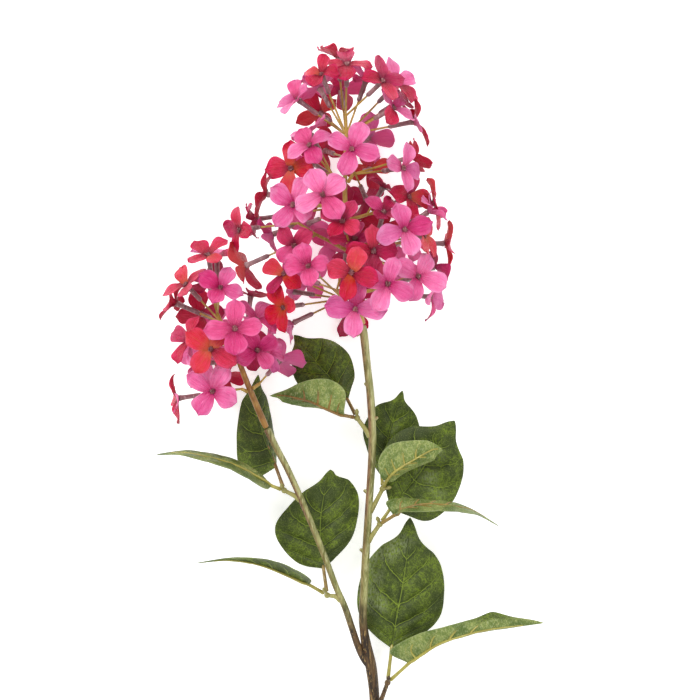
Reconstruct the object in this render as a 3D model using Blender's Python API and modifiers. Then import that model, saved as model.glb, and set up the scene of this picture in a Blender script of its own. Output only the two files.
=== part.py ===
"""Lilac stem: an artificial spray with two flower heads and twelve leaves, lying on its back.

The plant lies along Y with the flower heads toward +Y. +Z is up, away from the surface it lies on.
Places are written in millimetres from a point beside the middle of the stem, and at() turns them
into metres in the part's own frame.
"""
import math
import random

import bmesh
import bpy
from mathutils import Vector
from mathutils.bvhtree import BVHTree

# Driving dimensions, in millimetres
MM = 0.001
GAP = 0.3
CENTRE_X = 0.2
CENTRE_Y = -8.65
BLADE = 0.68
PETAL_LENGTH = 17.4
PETAL_WIDTH = 12.0
TUBE_LENGTH = 16.0
TUBE_MOUTH = 2.2
TUBE_FOOT = 1.35
PEDICEL = 0.85
SPRIG_STALK = 1.15
REACH = 33.0
KNOB = 1.9
PETIOLE = 0.95
SEED = 20

# Stem stations: place of the axis and radius
STEM = [
    (16.5, -229.0, 3.12, 3.3),
    (15.6, -205.0, 4.6, 3.2),
    (14.6, -179.0, 8.0, 3.1),
    (12.6, -162.0, 11.4, 3.4),
    (10.0, -150.0, 14.0, 3.1),
    (8.4, -140.0, 16.2, 2.6),
    (7.8, -130.0, 18.3, 2.45),
    (9.0, -102.0, 23.4, 2.35),
    (10.2, -82.0, 27.0, 2.3),
    (11.8, -57.0, 31.4, 2.3),
    (13.4, -26.0, 36.4, 2.35),
    (12.4, 0.0, 40.2, 2.35),
    (10.2, 21.0, 43.2, 2.3),
    (8.4, 38.0, 45.6, 2.45),
    (7.4, 44.0, 46.3, 2.3),
]
SIDE_STEM = [
    (12.4, -163.0, 11.6, 2.0),
    (8.4, -157.0, 13.0, 2.3),
    (4.8, -149.4, 15.2, 2.15),
    (1.2, -138.6, 18.0, 2.0),
    (-3.2, -125.4, 21.2, 1.95),
    (-8.4, -113.4, 23.8, 1.9),
    (-16.5, -91.8, 28.0, 1.9),
    (-28.2, -63.0, 32.6, 1.9),
    (-37.2, -42.6, 35.4, 1.95),
    (-43.8, -30.0, 36.8, 2.0),
    (-49.6, -18.2, 38.0, 2.2),
]
NUBS = [
    ((12.0, 8.0, 41.0), (8.9, 10.0, 41.6)),
    ((13.2, -12.0, 38.5), (16.6, -10.6, 38.9)),
    ((11.7, -56.0, 31.6), (8.4, -54.6, 32.2)),
    ((9.4, -92.0, 25.2), (6.1, -90.4, 25.8)),
]
RACHIS = [
    (7.1, 46.0, 46.6, 2.1),
    (5.0, 56.0, 47.8, 1.9),
    (2.0, 75.0, 49.4, 1.7),
    (-1.2, 98.0, 50.6, 1.55),
    (-3.0, 120.0, 51.4, 1.4),
    (-2.8, 142.0, 52.0, 1.25),
    (-2.4, 156.5, 52.4, 1.15),
]
SIDE_RACHIS = [
    (-50.6, -16.2, 38.4, 1.75),
    (-53.0, -11.0, 39.2, 2.0),
    (-59.4, 4.2, 41.6, 1.8),
    (-64.8, 18.0, 43.4, 1.7),
    (-70.0, 32.0, 45.0, 1.5),
    (-76.0, 44.4, 46.2, 1.3),
]

# Each sprig: the stalk's points from its foot, then its florets as
# (x, y, z, stalk point it grows from, lean toward +Z, angle of one petal in degrees,
# colour of all petals, or of each petal from that one on)
SPRIGS = {
    "main_head_top_sprig": (
        [(-2.3, 158.6, 52.5), (-2.6, 170.0, 53.5)],
        [
            (-1.8, 200.4, 64.0, 1, 0.35, 90, "magenta red red red"),
            (-14.4, 193.8, 70.0, 0, 0.45, 75, "red"),
            (-7.4, 205.5, 44.0, 0, 0.1, 60, "red"),
            (-31.2, 179.4, 58.0, 0, 0.5, 92, "pink"),
            (-21.0, 187.0, 52.0, 0, -0.5, 100, "pink"),
            (-18.0, 173.0, 34.0, 0, -0.4, 60, "red"),
            (9.6, 191.4, 54.0, 0, -0.35, 88, "pink"),
            (-5.4, 186.0, 34.0, 0, -0.6, 2, "magenta"),
            (19.3, 190.0, 70.0, 1, 0.3, 100, "red"),
            (25.0, 189.3, 54.0, 0, 0.5, 27, "pink pink red red"),
            (29.4, 180.0, 38.0, 0, 0.1, 45, "red"),
            (28.4, 174.5, 64.0, 0, 0.3, 60, "pink pink red pink"),
            (36.0, 167.0, 48.0, 0, 0.2, 20, "red red pink red"),
        ],
    ),
    "main_head_upper_right_sprig": (
        [(-0.6, 131.4, 53.6), (1.8, 135.0, 57.4)],
        [
            (1.2, 148.8, 90.0, 1, 1.3, 67, "pink"),
            (31.4, 162.4, 54.0, 1, -0.2, 350, "coral"),
            (31.4, 138.2, 70.0, 1, 0.5, 80, "pink pink pink lilac"),
            (37.0, 146.0, 46.0, 1, 0.2, 60, "red"),
            (12.0, 139.0, 28.0, 1, -0.6, 30, "red"),
        ],
    ),
    "main_head_upper_left_sprig": (
        [(-5.0, 128.0, 52.6), (-9.5, 133.0, 56.0)],
        [
            (-35.0, 138.2, 66.0, 1, 0.8, 93, "coral"),
            (-24.0, 151.5, 74.0, 1, 0.3, 118, "rose pink rose pink"),
            (-20.5, 163.5, 54.0, 1, 0.1, 170, "pink"),
            (-23.0, 142.5, 42.0, 1, 0.0, 15, "magenta"),
        ],
    ),
    "main_head_left_front_sprig": (
        [(-4.6, 112.0, 52.4), (-9.5, 115.0, 60.0)],
        [
            (-16.2, 121.8, 92.0, 1, 1.4, 33, "pink"),
            (-33.8, 116.2, 80.0, 1, 0.8, 57, "pink"),
            (-47.6, 123.0, 58.0, 1, 0.1, 48, "red"),
            (-52.0, 112.0, 44.0, 1, 0.2, 225, "magenta"),
        ],
    ),
    "main_head_left_sprig": (
        [(-2.8, 90.0, 50.6), (-12.0, 95.0, 51.0), (-20.0, 99.0, 51.0), (-31.0, 106.0, 52.0)],
        [
            (-65.5, 101.6, 70.0, 3, 0.0, 175, "magenta red red red"),
            (-49.0, 99.0, 50.0, 3, 0.0, 250, "pink"),
            (-59.4, 83.4, 62.0, 2, -0.7, 183, "coral"),
            (-33.0, 92.0, 78.0, 2, 0.2, 40, "magenta"),
        ],
    ),
    "main_head_lower_left_sprig": (
        [(4.4, 39.6, 47.4), (-1.0, 48.0, 49.0), (-4.0, 60.5, 51.0)],
        [
            (-41.6, 75.4, 72.0, 2, 0.7, 55, "pink coral magenta coral"),
            (-24.5, 79.6, 84.0, 2, 0.7, 190, "rose"),
            (-39.4, 55.4, 70.0, 2, 0.6, 112, "coral"),
            (-34.5, 46.0, 50.0, 2, 0.1, 235, "pink"),
            (-37.0, 65.0, 46.0, 2, 0.0, 100, "pink"),
        ],
    ),
    "main_head_centre_sprig": (
        [(3.0, 83.0, 52.2), (2.0, 86.0, 62.0)],
        [
            (0.8, 75.6, 96.0, 1, 1.5, 72, "coral red coral red"),
            (13.8, 88.6, 88.0, 1, 0.3, 0, "red"),
            (-4.4, 106.0, 90.0, 1, 0.6, 60, "red"),
            (3.0, 98.5, 70.0, 0, -0.2, 175, "magenta"),
        ],
    ),
    "main_head_right_sprig": (
        [(2.0, 92.0, 50.8), (15.0, 94.0, 54.0)],
        [
            (29.8, 101.2, 86.0, 1, 0.9, 105, "pink lilac pink rose"),
            (44.0, 98.0, 70.0, 1, -0.2, 45, "coral"),
            (47.0, 112.6, 58.0, 1, 0.0, 175, "pink"),
            (57.0, 94.0, 44.0, 1, 0.0, 10, "coral"),
            (20.0, 112.0, 72.0, 1, 0.0, 60, "magenta"),
        ],
    ),
    "main_head_right_back_sprig": (
        [(0.5, 108.2, 50.6), (10.0, 111.0, 48.0)],
        [
            (38.6, 125.0, 62.0, 1, 0.5, 40, "red"),
            (50.0, 120.8, 44.0, 1, 0.1, 85, "coral red red magenta"),
            (20.0, 128.0, 42.0, 1, 0.2, 25, "magenta"),
        ],
    ),
    "main_head_lower_right_sprig": (
        [(6.4, 64.3, 50.2), (14.0, 66.0, 55.0)],
        [
            (22.2, 69.0, 92.0, 1, 1.4, 68, "pink"),
            (40.4, 73.6, 78.0, 1, 0.9, 65, "pink"),
            (48.0, 61.6, 58.0, 1, 0.2, 350, "lilac pink pink rose"),
            (51.0, 80.0, 46.0, 1, 0.0, 330, "magenta"),
        ],
    ),
    "main_head_bottom_sprig": (
        [(7.0, 52.0, 50.0), (7.6, 53.0, 56.0)],
        [
            (3.2, 54.2, 90.0, 1, 1.6, 357, "pink"),
        ],
    ),
    "side_head_top_sprig": (
        [(-77.0, 46.4, 46.6), (-79.6, 52.0, 47.0)],
        [
            (-98.0, 69.0, 58.0, 0, 0.3, 30, "red coral red red"),
            (-104.4, 58.0, 40.0, 0, 0.0, 150, "red"),
            (-79.8, 85.8, 50.0, 1, 0.2, 88, "pink lilac rose magenta"),
            (-88.0, 83.0, 66.0, 1, 0.1, 195, "red"),
            (-73.6, 70.4, 72.0, 1, 0.3, 85, "rose"),
            (-85.0, 70.0, 40.0, 1, -0.2, 60, "magenta"),
            (-93.0, 52.0, 26.0, 0, -0.5, 60, "red"),
        ],
    ),
    "side_head_right_sprig": (
        [(-65.0, 26.2, 46.4), (-63.2, 31.4, 52.8)],
        [
            (-68.0, 42.6, 88.0, 1, 1.4, 90, "rose"),
            (-52.4, 51.6, 62.0, 1, 0.2, 100, "pink"),
            (-56.0, 66.4, 50.0, 1, 0.0, 175, "red"),
            (-57.6, 30.0, 75.0, 1, 0.4, 300, "rose"),
            (-50.0, 29.4, 58.0, 0, -0.2, 264, "pink"),
        ],
    ),
    "side_head_left_sprig": (
        [(-69.6, 21.8, 45.6), (-72.0, 23.6, 48.0)],
        [
            (-82.4, 30.6, 84.0, 1, 0.9, 55, "coral"),
            (-95.0, 36.0, 58.0, 1, 0.2, 165, "red"),
            (-92.6, 21.0, 52.0, 1, 0.0, 250, "pink"),
        ],
    ),
    "side_head_low_sprig": (
        [(-62.6, 5.4, 43.0), (-65.0, 6.6, 45.0)],
        [
            (-81.6, 5.4, 74.0, 1, 1.0, 62, "pink"),
            (-103.0, 1.0, 50.0, 1, 0.0, 175, "red red rose red"),
        ],
    ),
    "side_head_low_right_sprig": (
        [(-57.4, 7.6, 42.6), (-54.6, 9.6, 43.0)],
        [
            (-41.6, 24.4, 38.0, 1, -0.7, 92, "pink"),
        ],
    ),
}

# Sprigs on the underside: stalk points, number of florets, first azimuth, one that bears on the surface
UNDERSIDE = {
    "main_head_back_top_sprig": ([(-2.8, 143.0, 49.8), (-1.0, 145.0, 40.0)], 3, 20.0, 1),
    "main_head_back_middle_sprig": ([(-2.6, 112.0, 48.8), (-8.0, 113.0, 40.0)], 4, 200.0, 0),
    "main_head_back_right_sprig": ([(2.4, 86.0, 48.0), (12.0, 87.0, 40.0)], 4, 330.0, 1),
    "main_head_back_low_sprig": ([(0.0, 64.0, 47.4), (-8.0, 66.0, 40.0)], 3, 160.0, 0),
    "side_head_back_sprig": ([(-71.0, 26.0, 42.8), (-73.0, 28.0, 36.0)], 4, 120.0, 1),
}

# Each leaf: the points of its petiole, then rows across the blade from base to tip as
# left edge, rib and right edge, then the tip
LEAVES = {
    "leaf_upper_left_dark": (
        [(4.2, -10.8, 39.4), (-1.2, -0.4, 36.4)],
        [
            ((-13.0, 1.5, 32.0), (-4.6, 5.0, 34.0), (0.6, 6.5, 35.0)),
            ((-26.0, 4.5, 29.0), (-11.0, 12.5, 31.5), (2.8, 15.0, 33.0)),
            ((-33.0, 12.0, 27.0), (-18.0, 20.0, 30.5), (-0.4, 27.0, 31.5)),
            ((-35.2, 22.0, 26.5), (-25.0, 28.0, 30.5), (-9.5, 35.0, 31.5)),
            ((-34.8, 32.0, 28.5), (-30.0, 34.0, 31.0), (-21.0, 37.8, 31.5)),
        ],
        (-33.7, 39.2, 32.0),
    ),
    "leaf_upper_left_pale": (
        [(4.2, -10.8, 39.4), (-3.0, -9.4, 44.0)],
        [
            ((-3.6, -6.6, 50.0), (-8.5, -6.9, 45.4), (-7.4, -7.6, 38.0)),
            ((-3.0, 5.2, 50.0), (-15.5, -4.2, 46.4), (-17.0, -5.2, 36.0)),
            ((-11.4, 12.0, 48.0), (-23.4, -0.6, 46.8), (-28.0, -4.0, 36.0)),
            ((-22.6, 12.4, 47.0), (-32.5, 1.6, 46.0), (-36.0, -2.4, 38.5)),
            ((-35.0, 8.4, 45.0), (-40.5, 2.8, 44.0), (-42.6, -0.4, 41.0)),
        ],
        (-48.2, 2.6, 42.0),
    ),
    "leaf_upper_right_dark": (
        [(19.8, -53.4, 32.6), (19.2, -46.6, 28.0)],
        [
            ((13.6, -38.0, 23.5), (20.2, -39.0, 26.0), (29.0, -41.0, 22.5)),
            ((9.4, -27.0, 22.0), (22.0, -28.0, 25.0), (37.5, -32.0, 20.5)),
            ((8.2, -16.6, 23.0), (24.4, -17.4, 25.5), (42.0, -20.5, 21.0)),
            ((15.2, -4.4, 26.0), (27.6, -7.0, 27.0), (40.2, -10.4, 24.0)),
            ((23.6, -0.4, 28.5), (29.8, -0.6, 29.0), (35.0, -2.4, 28.0)),
        ],
        (31.6, 5.6, 31.0),
    ),
    "leaf_right_dark": (
        [(18.0, -75.0, 29.6), (24.4, -65.4, 29.0)],
        [
            ((22.6, -58.6, 28.6), (29.4, -59.4, 29.5), (35.0, -70.0, 27.0)),
            ((20.4, -46.6, 31.6), (35.8, -52.0, 31.4), (47.6, -73.0, 27.0)),
            ((19.4, -33.0, 31.5), (42.4, -43.6, 33.4), (60.4, -63.6, 28.5)),
            ((28.0, -20.4, 33.0), (49.0, -33.0, 34.6), (67.8, -47.0, 31.0)),
            ((43.6, -14.4, 34.5), (56.0, -22.6, 36.0), (67.6, -31.0, 34.0)),
        ],
        (63.0, -12.4, 38.0),
    ),
    "leaf_right_folded": (
        [(19.8, -53.4, 32.6), (21.6, -49.0, 38.0)],
        [
            ((18.2, -45.4, 42.0), (24.6, -44.8, 42.0), (25.8, -48.8, 40.0)),
            ((17.4, -35.4, 44.0), (29.6, -40.8, 44.0), (31.2, -44.8, 41.0)),
            ((24.0, -27.0, 45.0), (36.4, -36.8, 45.4), (38.4, -41.0, 42.0)),
            ((36.0, -24.4, 45.4), (43.8, -32.6, 46.0), (45.6, -38.0, 43.0)),
            ((50.0, -25.0, 46.0), (50.6, -29.4, 46.0), (51.8, -35.2, 44.5)),
        ],
        (55.6, -30.0, 46.0),
    ),
    "leaf_right_arched": (
        [(18.0, -75.0, 29.6), (26.4, -69.6, 40.0)],
        [
            ((22.0, -61.4, 38.6), (33.0, -66.4, 46.0), (31.0, -66.8, 58.0)),
            ((33.0, -59.2, 38.4), (42.6, -63.8, 49.6), (42.6, -66.6, 63.0)),
            ((46.0, -60.4, 39.0), (52.6, -63.6, 51.0), (53.6, -66.0, 66.0)),
            ((59.0, -61.2, 39.6), (63.0, -64.4, 50.4), (65.0, -66.6, 64.0)),
            ((72.0, -65.4, 41.0), (74.2, -67.0, 47.6), (76.4, -69.0, 57.0)),
        ],
        (89.6, -75.8, 43.0),
    ),
    "leaf_low_right_dark": (
        [(22.8, -171.6, 14.4), (25.2, -151.0, 12.0)],
        [
            ((14.0, -142.4, 9.0), (26.6, -143.0, 12.0), (41.6, -144.0, 9.0)),
            ((5.8, -131.0, 8.4), (28.4, -131.0, 12.6), (54.0, -133.0, 8.4)),
            ((4.8, -116.0, 9.0), (31.2, -117.0, 13.6), (57.2, -117.0, 9.4)),
            ((10.6, -98.6, 11.6), (33.6, -102.0, 15.2), (55.2, -101.0, 11.6)),
            ((24.0, -83.6, 14.6), (35.2, -87.0, 16.6), (47.6, -88.6, 14.6)),
        ],
        (36.4, -71.2, 19.0),
    ),
    "leaf_low_right_arched": (
        [(22.8, -171.6, 14.4), (35.6, -159.4, 22.0)],
        [
            ((24.0, -152.0, 24.0), (42.0, -153.8, 27.0), (42.6, -155.0, 17.0)),
            ((39.6, -141.6, 33.0), (53.4, -146.2, 34.0), (54.4, -147.6, 19.0)),
            ((56.0, -136.6, 38.0), (66.8, -141.4, 38.4), (67.8, -142.8, 22.0)),
            ((74.0, -131.6, 39.0), (80.6, -138.0, 39.6), (81.6, -139.4, 24.0)),
            ((91.0, -127.0, 35.0), (95.0, -136.4, 37.0), (96.0, -138.0, 26.0)),
        ],
        (117.0, -134.6, 29.0),
    ),
    "leaf_centre_dark": (
        [(-13.8, -118.2, 22.6), (-16.0, -102.4, 18.0)],
        [
            ((-30.6, -99.6, 14.0), (-17.2, -95.0, 17.0), (-7.6, -94.6, 15.0)),
            ((-42.0, -88.6, 12.4), (-18.0, -84.0, 16.6), (0.8, -84.4, 14.4)),
            ((-45.2, -76.4, 12.4), (-17.8, -73.0, 17.0), (4.8, -70.4, 14.8)),
            ((-35.6, -63.0, 15.0), (-16.4, -61.6, 18.2), (4.6, -56.6, 16.4)),
            ((-23.4, -51.8, 18.0), (-14.2, -51.0, 19.4), (-3.6, -45.8, 18.4)),
        ],
        (-12.0, -42.2, 22.0),
    ),
    "leaf_left_arched": (
        [(-39.6, -54.6, 32.4), (-47.2, -51.8, 36.0)],
        [
            ((-50.6, -53.2, 48.0), (-55.0, -47.8, 40.0), (-54.0, -44.8, 30.0)),
            ((-61.0, -47.0, 56.0), (-65.0, -42.2, 43.6), (-65.0, -38.0, 30.0)),
            ((-72.4, -41.0, 59.0), (-75.6, -37.8, 45.4), (-76.0, -34.2, 31.0)),
            ((-86.0, -36.8, 57.0), (-87.4, -34.6, 45.0), (-88.0, -31.8, 33.0)),
            ((-100.0, -33.6, 50.0), (-101.0, -32.0, 42.4), (-101.4, -30.2, 35.0)),
        ],
        (-116.6, -32.9, 38.0),
    ),
    "leaf_left_upright": (
        [(-39.6, -54.6, 32.4), (-44.6, -40.8, 27.0)],
        [
            ((-56.0, -46.6, 21.0), (-47.6, -33.6, 25.4), (-44.6, -36.0, 18.0)),
            ((-66.6, -40.6, 18.0), (-51.4, -24.6, 24.4), (-45.2, -27.4, 14.0)),
            ((-68.6, -25.4, 18.0), (-54.2, -14.0, 24.2), (-46.8, -17.0, 13.6)),
            ((-67.2, -9.4, 20.0), (-55.6, -3.4, 25.0), (-48.8, -5.6, 16.4)),
            ((-63.6, 3.4, 23.0), (-56.2, 6.0, 26.2), (-51.6, 5.0, 21.0)),
        ],
        (-55.4, 15.2, 28.0),
    ),
    "leaf_low_left_arched": (
        [(-13.8, -118.2, 22.6), (-24.6, -111.8, 25.0)],
        [
            ((-23.8, -108.0, 37.0), (-33.0, -107.0, 29.6), (-31.4, -109.4, 19.0)),
            ((-33.8, -101.2, 45.0), (-42.0, -102.8, 33.4), (-41.4, -104.4, 19.0)),
            ((-46.0, -96.4, 47.0), (-51.8, -99.2, 35.4), (-51.6, -100.8, 20.0)),
            ((-58.6, -94.8, 45.0), (-62.2, -97.0, 35.2), (-62.2, -98.8, 22.0)),
            ((-72.4, -95.2, 39.0), (-74.6, -96.2, 32.6), (-74.8, -97.6, 24.0)),
        ],
        (-92.6, -98.6, 27.0),
    ),
}

# Each leaf twig: where it leaves the stem's axis, the stem's radius there, its knob and its bud's tip
TWIGS = {
    "upper_left_leaf_twig": ((12.9, -20.4, 37.2), 2.35, (4.2, -10.8, 39.4), (4.0, -5.8, 44.6)),
    "upper_right_leaf_twig": ((11.2, -66.0, 29.9), 2.3, (19.8, -53.4, 32.6), (24.6, -52.6, 35.0)),
    "right_leaf_twig": ((10.1, -84.0, 26.7), 2.3, (18.0, -75.0, 29.6), (16.4, -70.8, 33.8)),
    "low_right_leaf_twig": ((14.9, -187.0, 7.0), 3.15, (22.8, -171.6, 14.4), (23.4, -167.6, 20.4)),
    "left_leaf_twig": ((-30.0, -58.8, 33.1), 1.95, (-39.6, -54.6, 32.4), (-41.4, -50.8, 38.4)),
    "low_left_leaf_twig": ((-5.6, -119.8, 22.4), 1.95, (-13.8, -118.2, 22.6), (-16.0, -113.8, 28.6)),
}

COLOURS = {
    "pink": (0.90, 0.16, 0.40, 1.0),
    "red": (0.68, 0.02, 0.06, 1.0),
    "stem": (0.30, 0.25, 0.10, 1.0),
    "stalk": (0.48, 0.33, 0.08, 1.0),
    "twig": (0.36, 0.36, 0.14, 1.0),
    "leaf": (0.07, 0.13, 0.025, 1.0),
    "pale leaf": (0.22, 0.32, 0.11, 1.0),
}

# Small moves tried in turn where a floret would touch one placed before it
LIFTS = (0.0, 3.0, -3.0, 6.0, -6.0, 9.0, -9.0, 12.0, -12.0, 16.0, -16.0)
SLIDES = ((0.0, 0.0), (2.5, 0.0), (-2.5, 0.0), (0.0, 2.5), (0.0, -2.5), (3.5, 3.5), (-3.5, -3.5))
TURNS = (0.0, 20.0, -20.0, 42.0)


def at(point):
    """A place in millimetres as metres in the part's frame."""
    return Vector((point[0] - CENTRE_X, point[1] - CENTRE_Y, point[2])) * MM


def clear_scene():
    for obj in list(bpy.data.objects):
        bpy.data.objects.remove(obj, do_unlink=True)


def collection(name, helpers=False):
    made = bpy.data.collections.new(name)
    bpy.context.scene.collection.children.link(made)
    made.hide_render = helpers
    return made


def principled(name, colour, roughness):
    material = bpy.data.materials.new(name)
    material.use_nodes = True
    shader = material.node_tree.nodes["Principled BSDF"]
    shader.inputs["Base Color"].default_value = COLOURS[colour]
    shader.inputs["Roughness"].default_value = roughness
    shader.inputs["Metallic"].default_value = 0.0
    return material


def ring_profile(sides, helpers):
    """A closed ring of unit radius that rods are swept with."""
    name = "rod_profile_%d" % sides
    if name in bpy.data.objects:
        return bpy.data.objects[name]
    curve = bpy.data.curves.new(name, "CURVE")
    spline = curve.splines.new("POLY")
    spline.points.add(sides - 1)
    for i, point in enumerate(spline.points):
        turn = 2.0 * math.pi * i / sides
        point.co = (math.cos(turn), math.sin(turn), 0.0, 1.0)
    spline.use_cyclic_u = True
    profile = bpy.data.objects.new(name, curve)
    profile.hide_render = True
    profile.display_type = "WIRE"
    helpers.objects.link(profile)
    return profile


def rod(name, stations, sides, home, helpers):
    """A tapered rod along (x, y, z, radius) stations, as a curve object with closed ends."""
    curve = bpy.data.curves.new(name, "CURVE")
    curve.dimensions = "3D"
    curve.bevel_mode = "OBJECT"
    curve.bevel_object = ring_profile(sides, helpers)
    curve.use_fill_caps = True
    spline = curve.splines.new("POLY")
    spline.points.add(len(stations) - 1)
    for point, (x, y, z, radius) in zip(spline.points, stations):
        point.co = (*at((x, y, z)), 1.0)
        point.radius = radius * MM
    made = bpy.data.objects.new(name, curve)
    home.objects.link(made)
    return made


def sheet(name, points, faces, home):
    """A thin blade: an open surface in millimetres, given its thickness by Solidify."""
    mesh = bpy.data.meshes.new(name)
    mesh.from_pydata([at(p) for p in points], [], faces)
    made = bpy.data.objects.new(name, mesh)
    home.objects.link(made)
    solid = made.modifiers.new("thickness", "SOLIDIFY")
    solid.thickness = BLADE * MM
    solid.offset = 0.0
    solid.use_even_offset = False
    return made


def as_meshes(objects):
    """Replaces curves and sheets by plain closed meshes."""
    graph = bpy.context.evaluated_depsgraph_get()
    meshes = []
    for obj in objects:
        meshes.append(bpy.data.meshes.new_from_object(obj.evaluated_get(graph)))
    made = []
    for obj, mesh in zip(objects, meshes):
        shape = bmesh.new()
        shape.from_mesh(mesh)
        bmesh.ops.remove_doubles(shape, verts=shape.verts, dist=0.000002)
        bmesh.ops.recalc_face_normals(shape, faces=shape.faces)
        shape.to_mesh(mesh)
        shape.free()
        new = bpy.data.objects.new(obj.name + "_mesh", mesh)
        new.matrix_world = obj.matrix_world
        for home in obj.users_collection:
            home.objects.link(new)
        bpy.data.objects.remove(obj, do_unlink=True)
        made.append(new)
    return made


def is_closed(mesh):
    """True where every edge has two faces."""
    shape = bmesh.new()
    shape.from_mesh(mesh)
    closed = all(len(edge.link_faces) == 2 for edge in shape.edges)
    shape.free()
    return closed


def fuse(name, objects, home, material):
    """Joins closed meshes into one body by one union with a collection of them."""
    parts = as_meshes(objects)
    body = parts[0]
    if len(parts) > 1:
        pieces = collection(name + "_pieces", helpers=True)
        for piece in parts[1:]:
            for old in piece.users_collection:
                old.objects.unlink(piece)
            pieces.objects.link(piece)
            piece.display_type = "WIRE"
        union = body.modifiers.new("union", "BOOLEAN")
        union.operation = "UNION"
        union.operand_type = "COLLECTION"
        union.collection = pieces
        for solver, weld in (("EXACT", 0.000001), ("MANIFOLD", 0.000001), ("MANIFOLD", 0.0000001)):
            union.solver = solver
            graph = bpy.context.evaluated_depsgraph_get()
            mesh = bpy.data.meshes.new_from_object(body.evaluated_get(graph))
            keep_main_body(mesh, weld)
            if is_closed(mesh):
                break
        body.modifiers.clear()
        body.data = mesh
        for piece in list(pieces.objects):
            bpy.data.objects.remove(piece, do_unlink=True)
        bpy.data.collections.remove(pieces)
    for old in body.users_collection:
        old.objects.unlink(body)
    home.objects.link(body)
    body.name = name
    body.data.name = name
    body.data.materials.clear()
    body.data.materials.append(material)
    return body


def keep_main_body(mesh, weld):
    """Drops loose scraps that the union leaves, and welds doubled corners."""
    shape = bmesh.new()
    shape.from_mesh(mesh)
    bmesh.ops.remove_doubles(shape, verts=shape.verts, dist=weld)
    bmesh.ops.triangulate(shape, faces=shape.faces)
    left = set(shape.faces)
    bodies = []
    while left:
        first = left.pop()
        body = [first]
        queue = [first]
        while queue:
            face = queue.pop()
            for edge in face.edges:
                for other in edge.link_faces:
                    if other in left:
                        left.discard(other)
                        body.append(other)
                        queue.append(other)
        bodies.append(body)
    bodies.sort(key=len, reverse=True)
    scraps = [face for body in bodies[1:] for face in body]
    bmesh.ops.delete(shape, geom=scraps, context="FACES")
    bare = [edge for edge in shape.edges if not edge.link_faces]
    bmesh.ops.delete(shape, geom=bare, context="EDGES")
    shape.to_mesh(mesh)
    shape.free()


def facing(direction):
    """The turn that takes +Z to a direction the short way round."""
    return Vector((0.0, 0.0, 1.0)).rotation_difference(direction)


def corolla(centre, axis, angle, lean, draw, growth):
    """A four-lobed sheet of fabric: its points and triangles. The more it leans up, the flatter it opens."""
    turn = facing(axis)
    steep = draw.uniform(4.0, 22.0) if lean > 0.75 else draw.uniform(10.0, 36.0)
    points = [Vector((0.0, 0.0, -0.25))]
    for lobe in range(4):
        way = math.radians(angle + 90.0 * lobe + draw.uniform(-6.0, 6.0))
        length = PETAL_LENGTH * draw.uniform(0.92, 1.08) * growth
        climb = math.radians(steep + draw.uniform(-8.0, 8.0))
        half = 0.5 * PETAL_WIDTH * draw.uniform(0.88, 1.06) * growth * (1.0 - 0.2 * math.sin(climb))
        rise = math.sin(climb)
        curl = rise * draw.uniform(0.1, 0.9) + draw.uniform(-0.04, 0.2)
        skew = draw.uniform(-0.2, 0.2)
        along = Vector((math.cos(way), math.sin(way), 0.0))
        across = Vector((-math.sin(way), math.cos(way), 0.0))
        notch = 0.5 * (along - across) * 4.6
        notch.z = 0.5 * rise
        points.append(notch)
        for reach, side in ((0.6, -1.0), (0.97, -0.5), (0.97, 0.5), (0.6, 1.0)):
            spot = along * (length * math.cos(climb) * reach) + across * (half * side)
            spot.z = length * (rise * reach - curl * reach**2.4) + half * side * skew
            points.append(spot)
    placed = [Vector(centre) + turn @ p for p in points]
    return placed, lobe_triangles(len(points) - 1)


def lobe_triangles(count):
    """Triangles of the sheet: its middle out to the four notches, then each lobe."""
    faces = []
    for first in range(1, count + 1, 5):
        notch, side, tip, far_tip, far_side = range(first, first + 5)
        following = first + 5 if first + 5 <= count else 1
        faces.append((0, notch, following))
        faces.append((notch, side, far_side))
        faces.append((notch, far_side, following))
        faces.append((side, tip, far_side))
        faces.append((far_side, tip, far_tip))
    return faces


def floret(spot, root, lean, angle, draw, growth=0.92):
    """Everything that places one floret: tube, pedicel and corolla."""
    centre = Vector(spot)
    root = Vector(root)
    away = (centre - root).normalized()
    axis = (away + Vector((0.0, 0.0, lean))).normalized()
    tube_way = (away + 0.7 * axis).normalized()
    foot = centre - tube_way * TUBE_LENGTH * growth
    bend = foot - tube_way * (foot - root).length * 0.45
    middle = root * 0.25 + bend * 0.5 + foot * 0.25
    points, faces = corolla(centre, axis, angle, lean, draw, growth)
    tube = [
        (*foot, PEDICEL),
        (*(foot + tube_way * 0.7), TUBE_FOOT * 1.3),
        (*(centre - axis * 0.3), TUBE_MOUTH * growth),
    ]
    pedicel = [(*root, PEDICEL), (*middle, PEDICEL), (*foot, PEDICEL)]
    return {"points": points, "faces": faces, "tube": tube, "pedicel": pedicel}


def prism(stations, extra, sides=4):
    """Points and faces of a plain rod, for finding what it would touch."""
    points = []
    faces = []
    spots = [Vector(s[:3]) for s in stations]
    for i, spot in enumerate(spots):
        ahead = (spots[min(i + 1, len(spots) - 1)] - spots[max(i - 1, 0)]).normalized()
        turn = facing(ahead)
        radius = (stations[i][3] + extra) / math.cos(math.pi / sides)
        for k in range(sides):
            way = 2.0 * math.pi * k / sides
            points.append(spot + turn @ Vector((math.cos(way) * radius, math.sin(way) * radius, 0.0)))
    for i in range(len(spots) - 1):
        for k in range(sides):
            a = i * sides + k
            b = i * sides + (k + 1) % sides
            faces.append((a, b, b + sides, a + sides))
    faces.append(tuple(range(sides)))
    faces.append(tuple(range(len(points) - sides, len(points))))
    return points, faces


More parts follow.
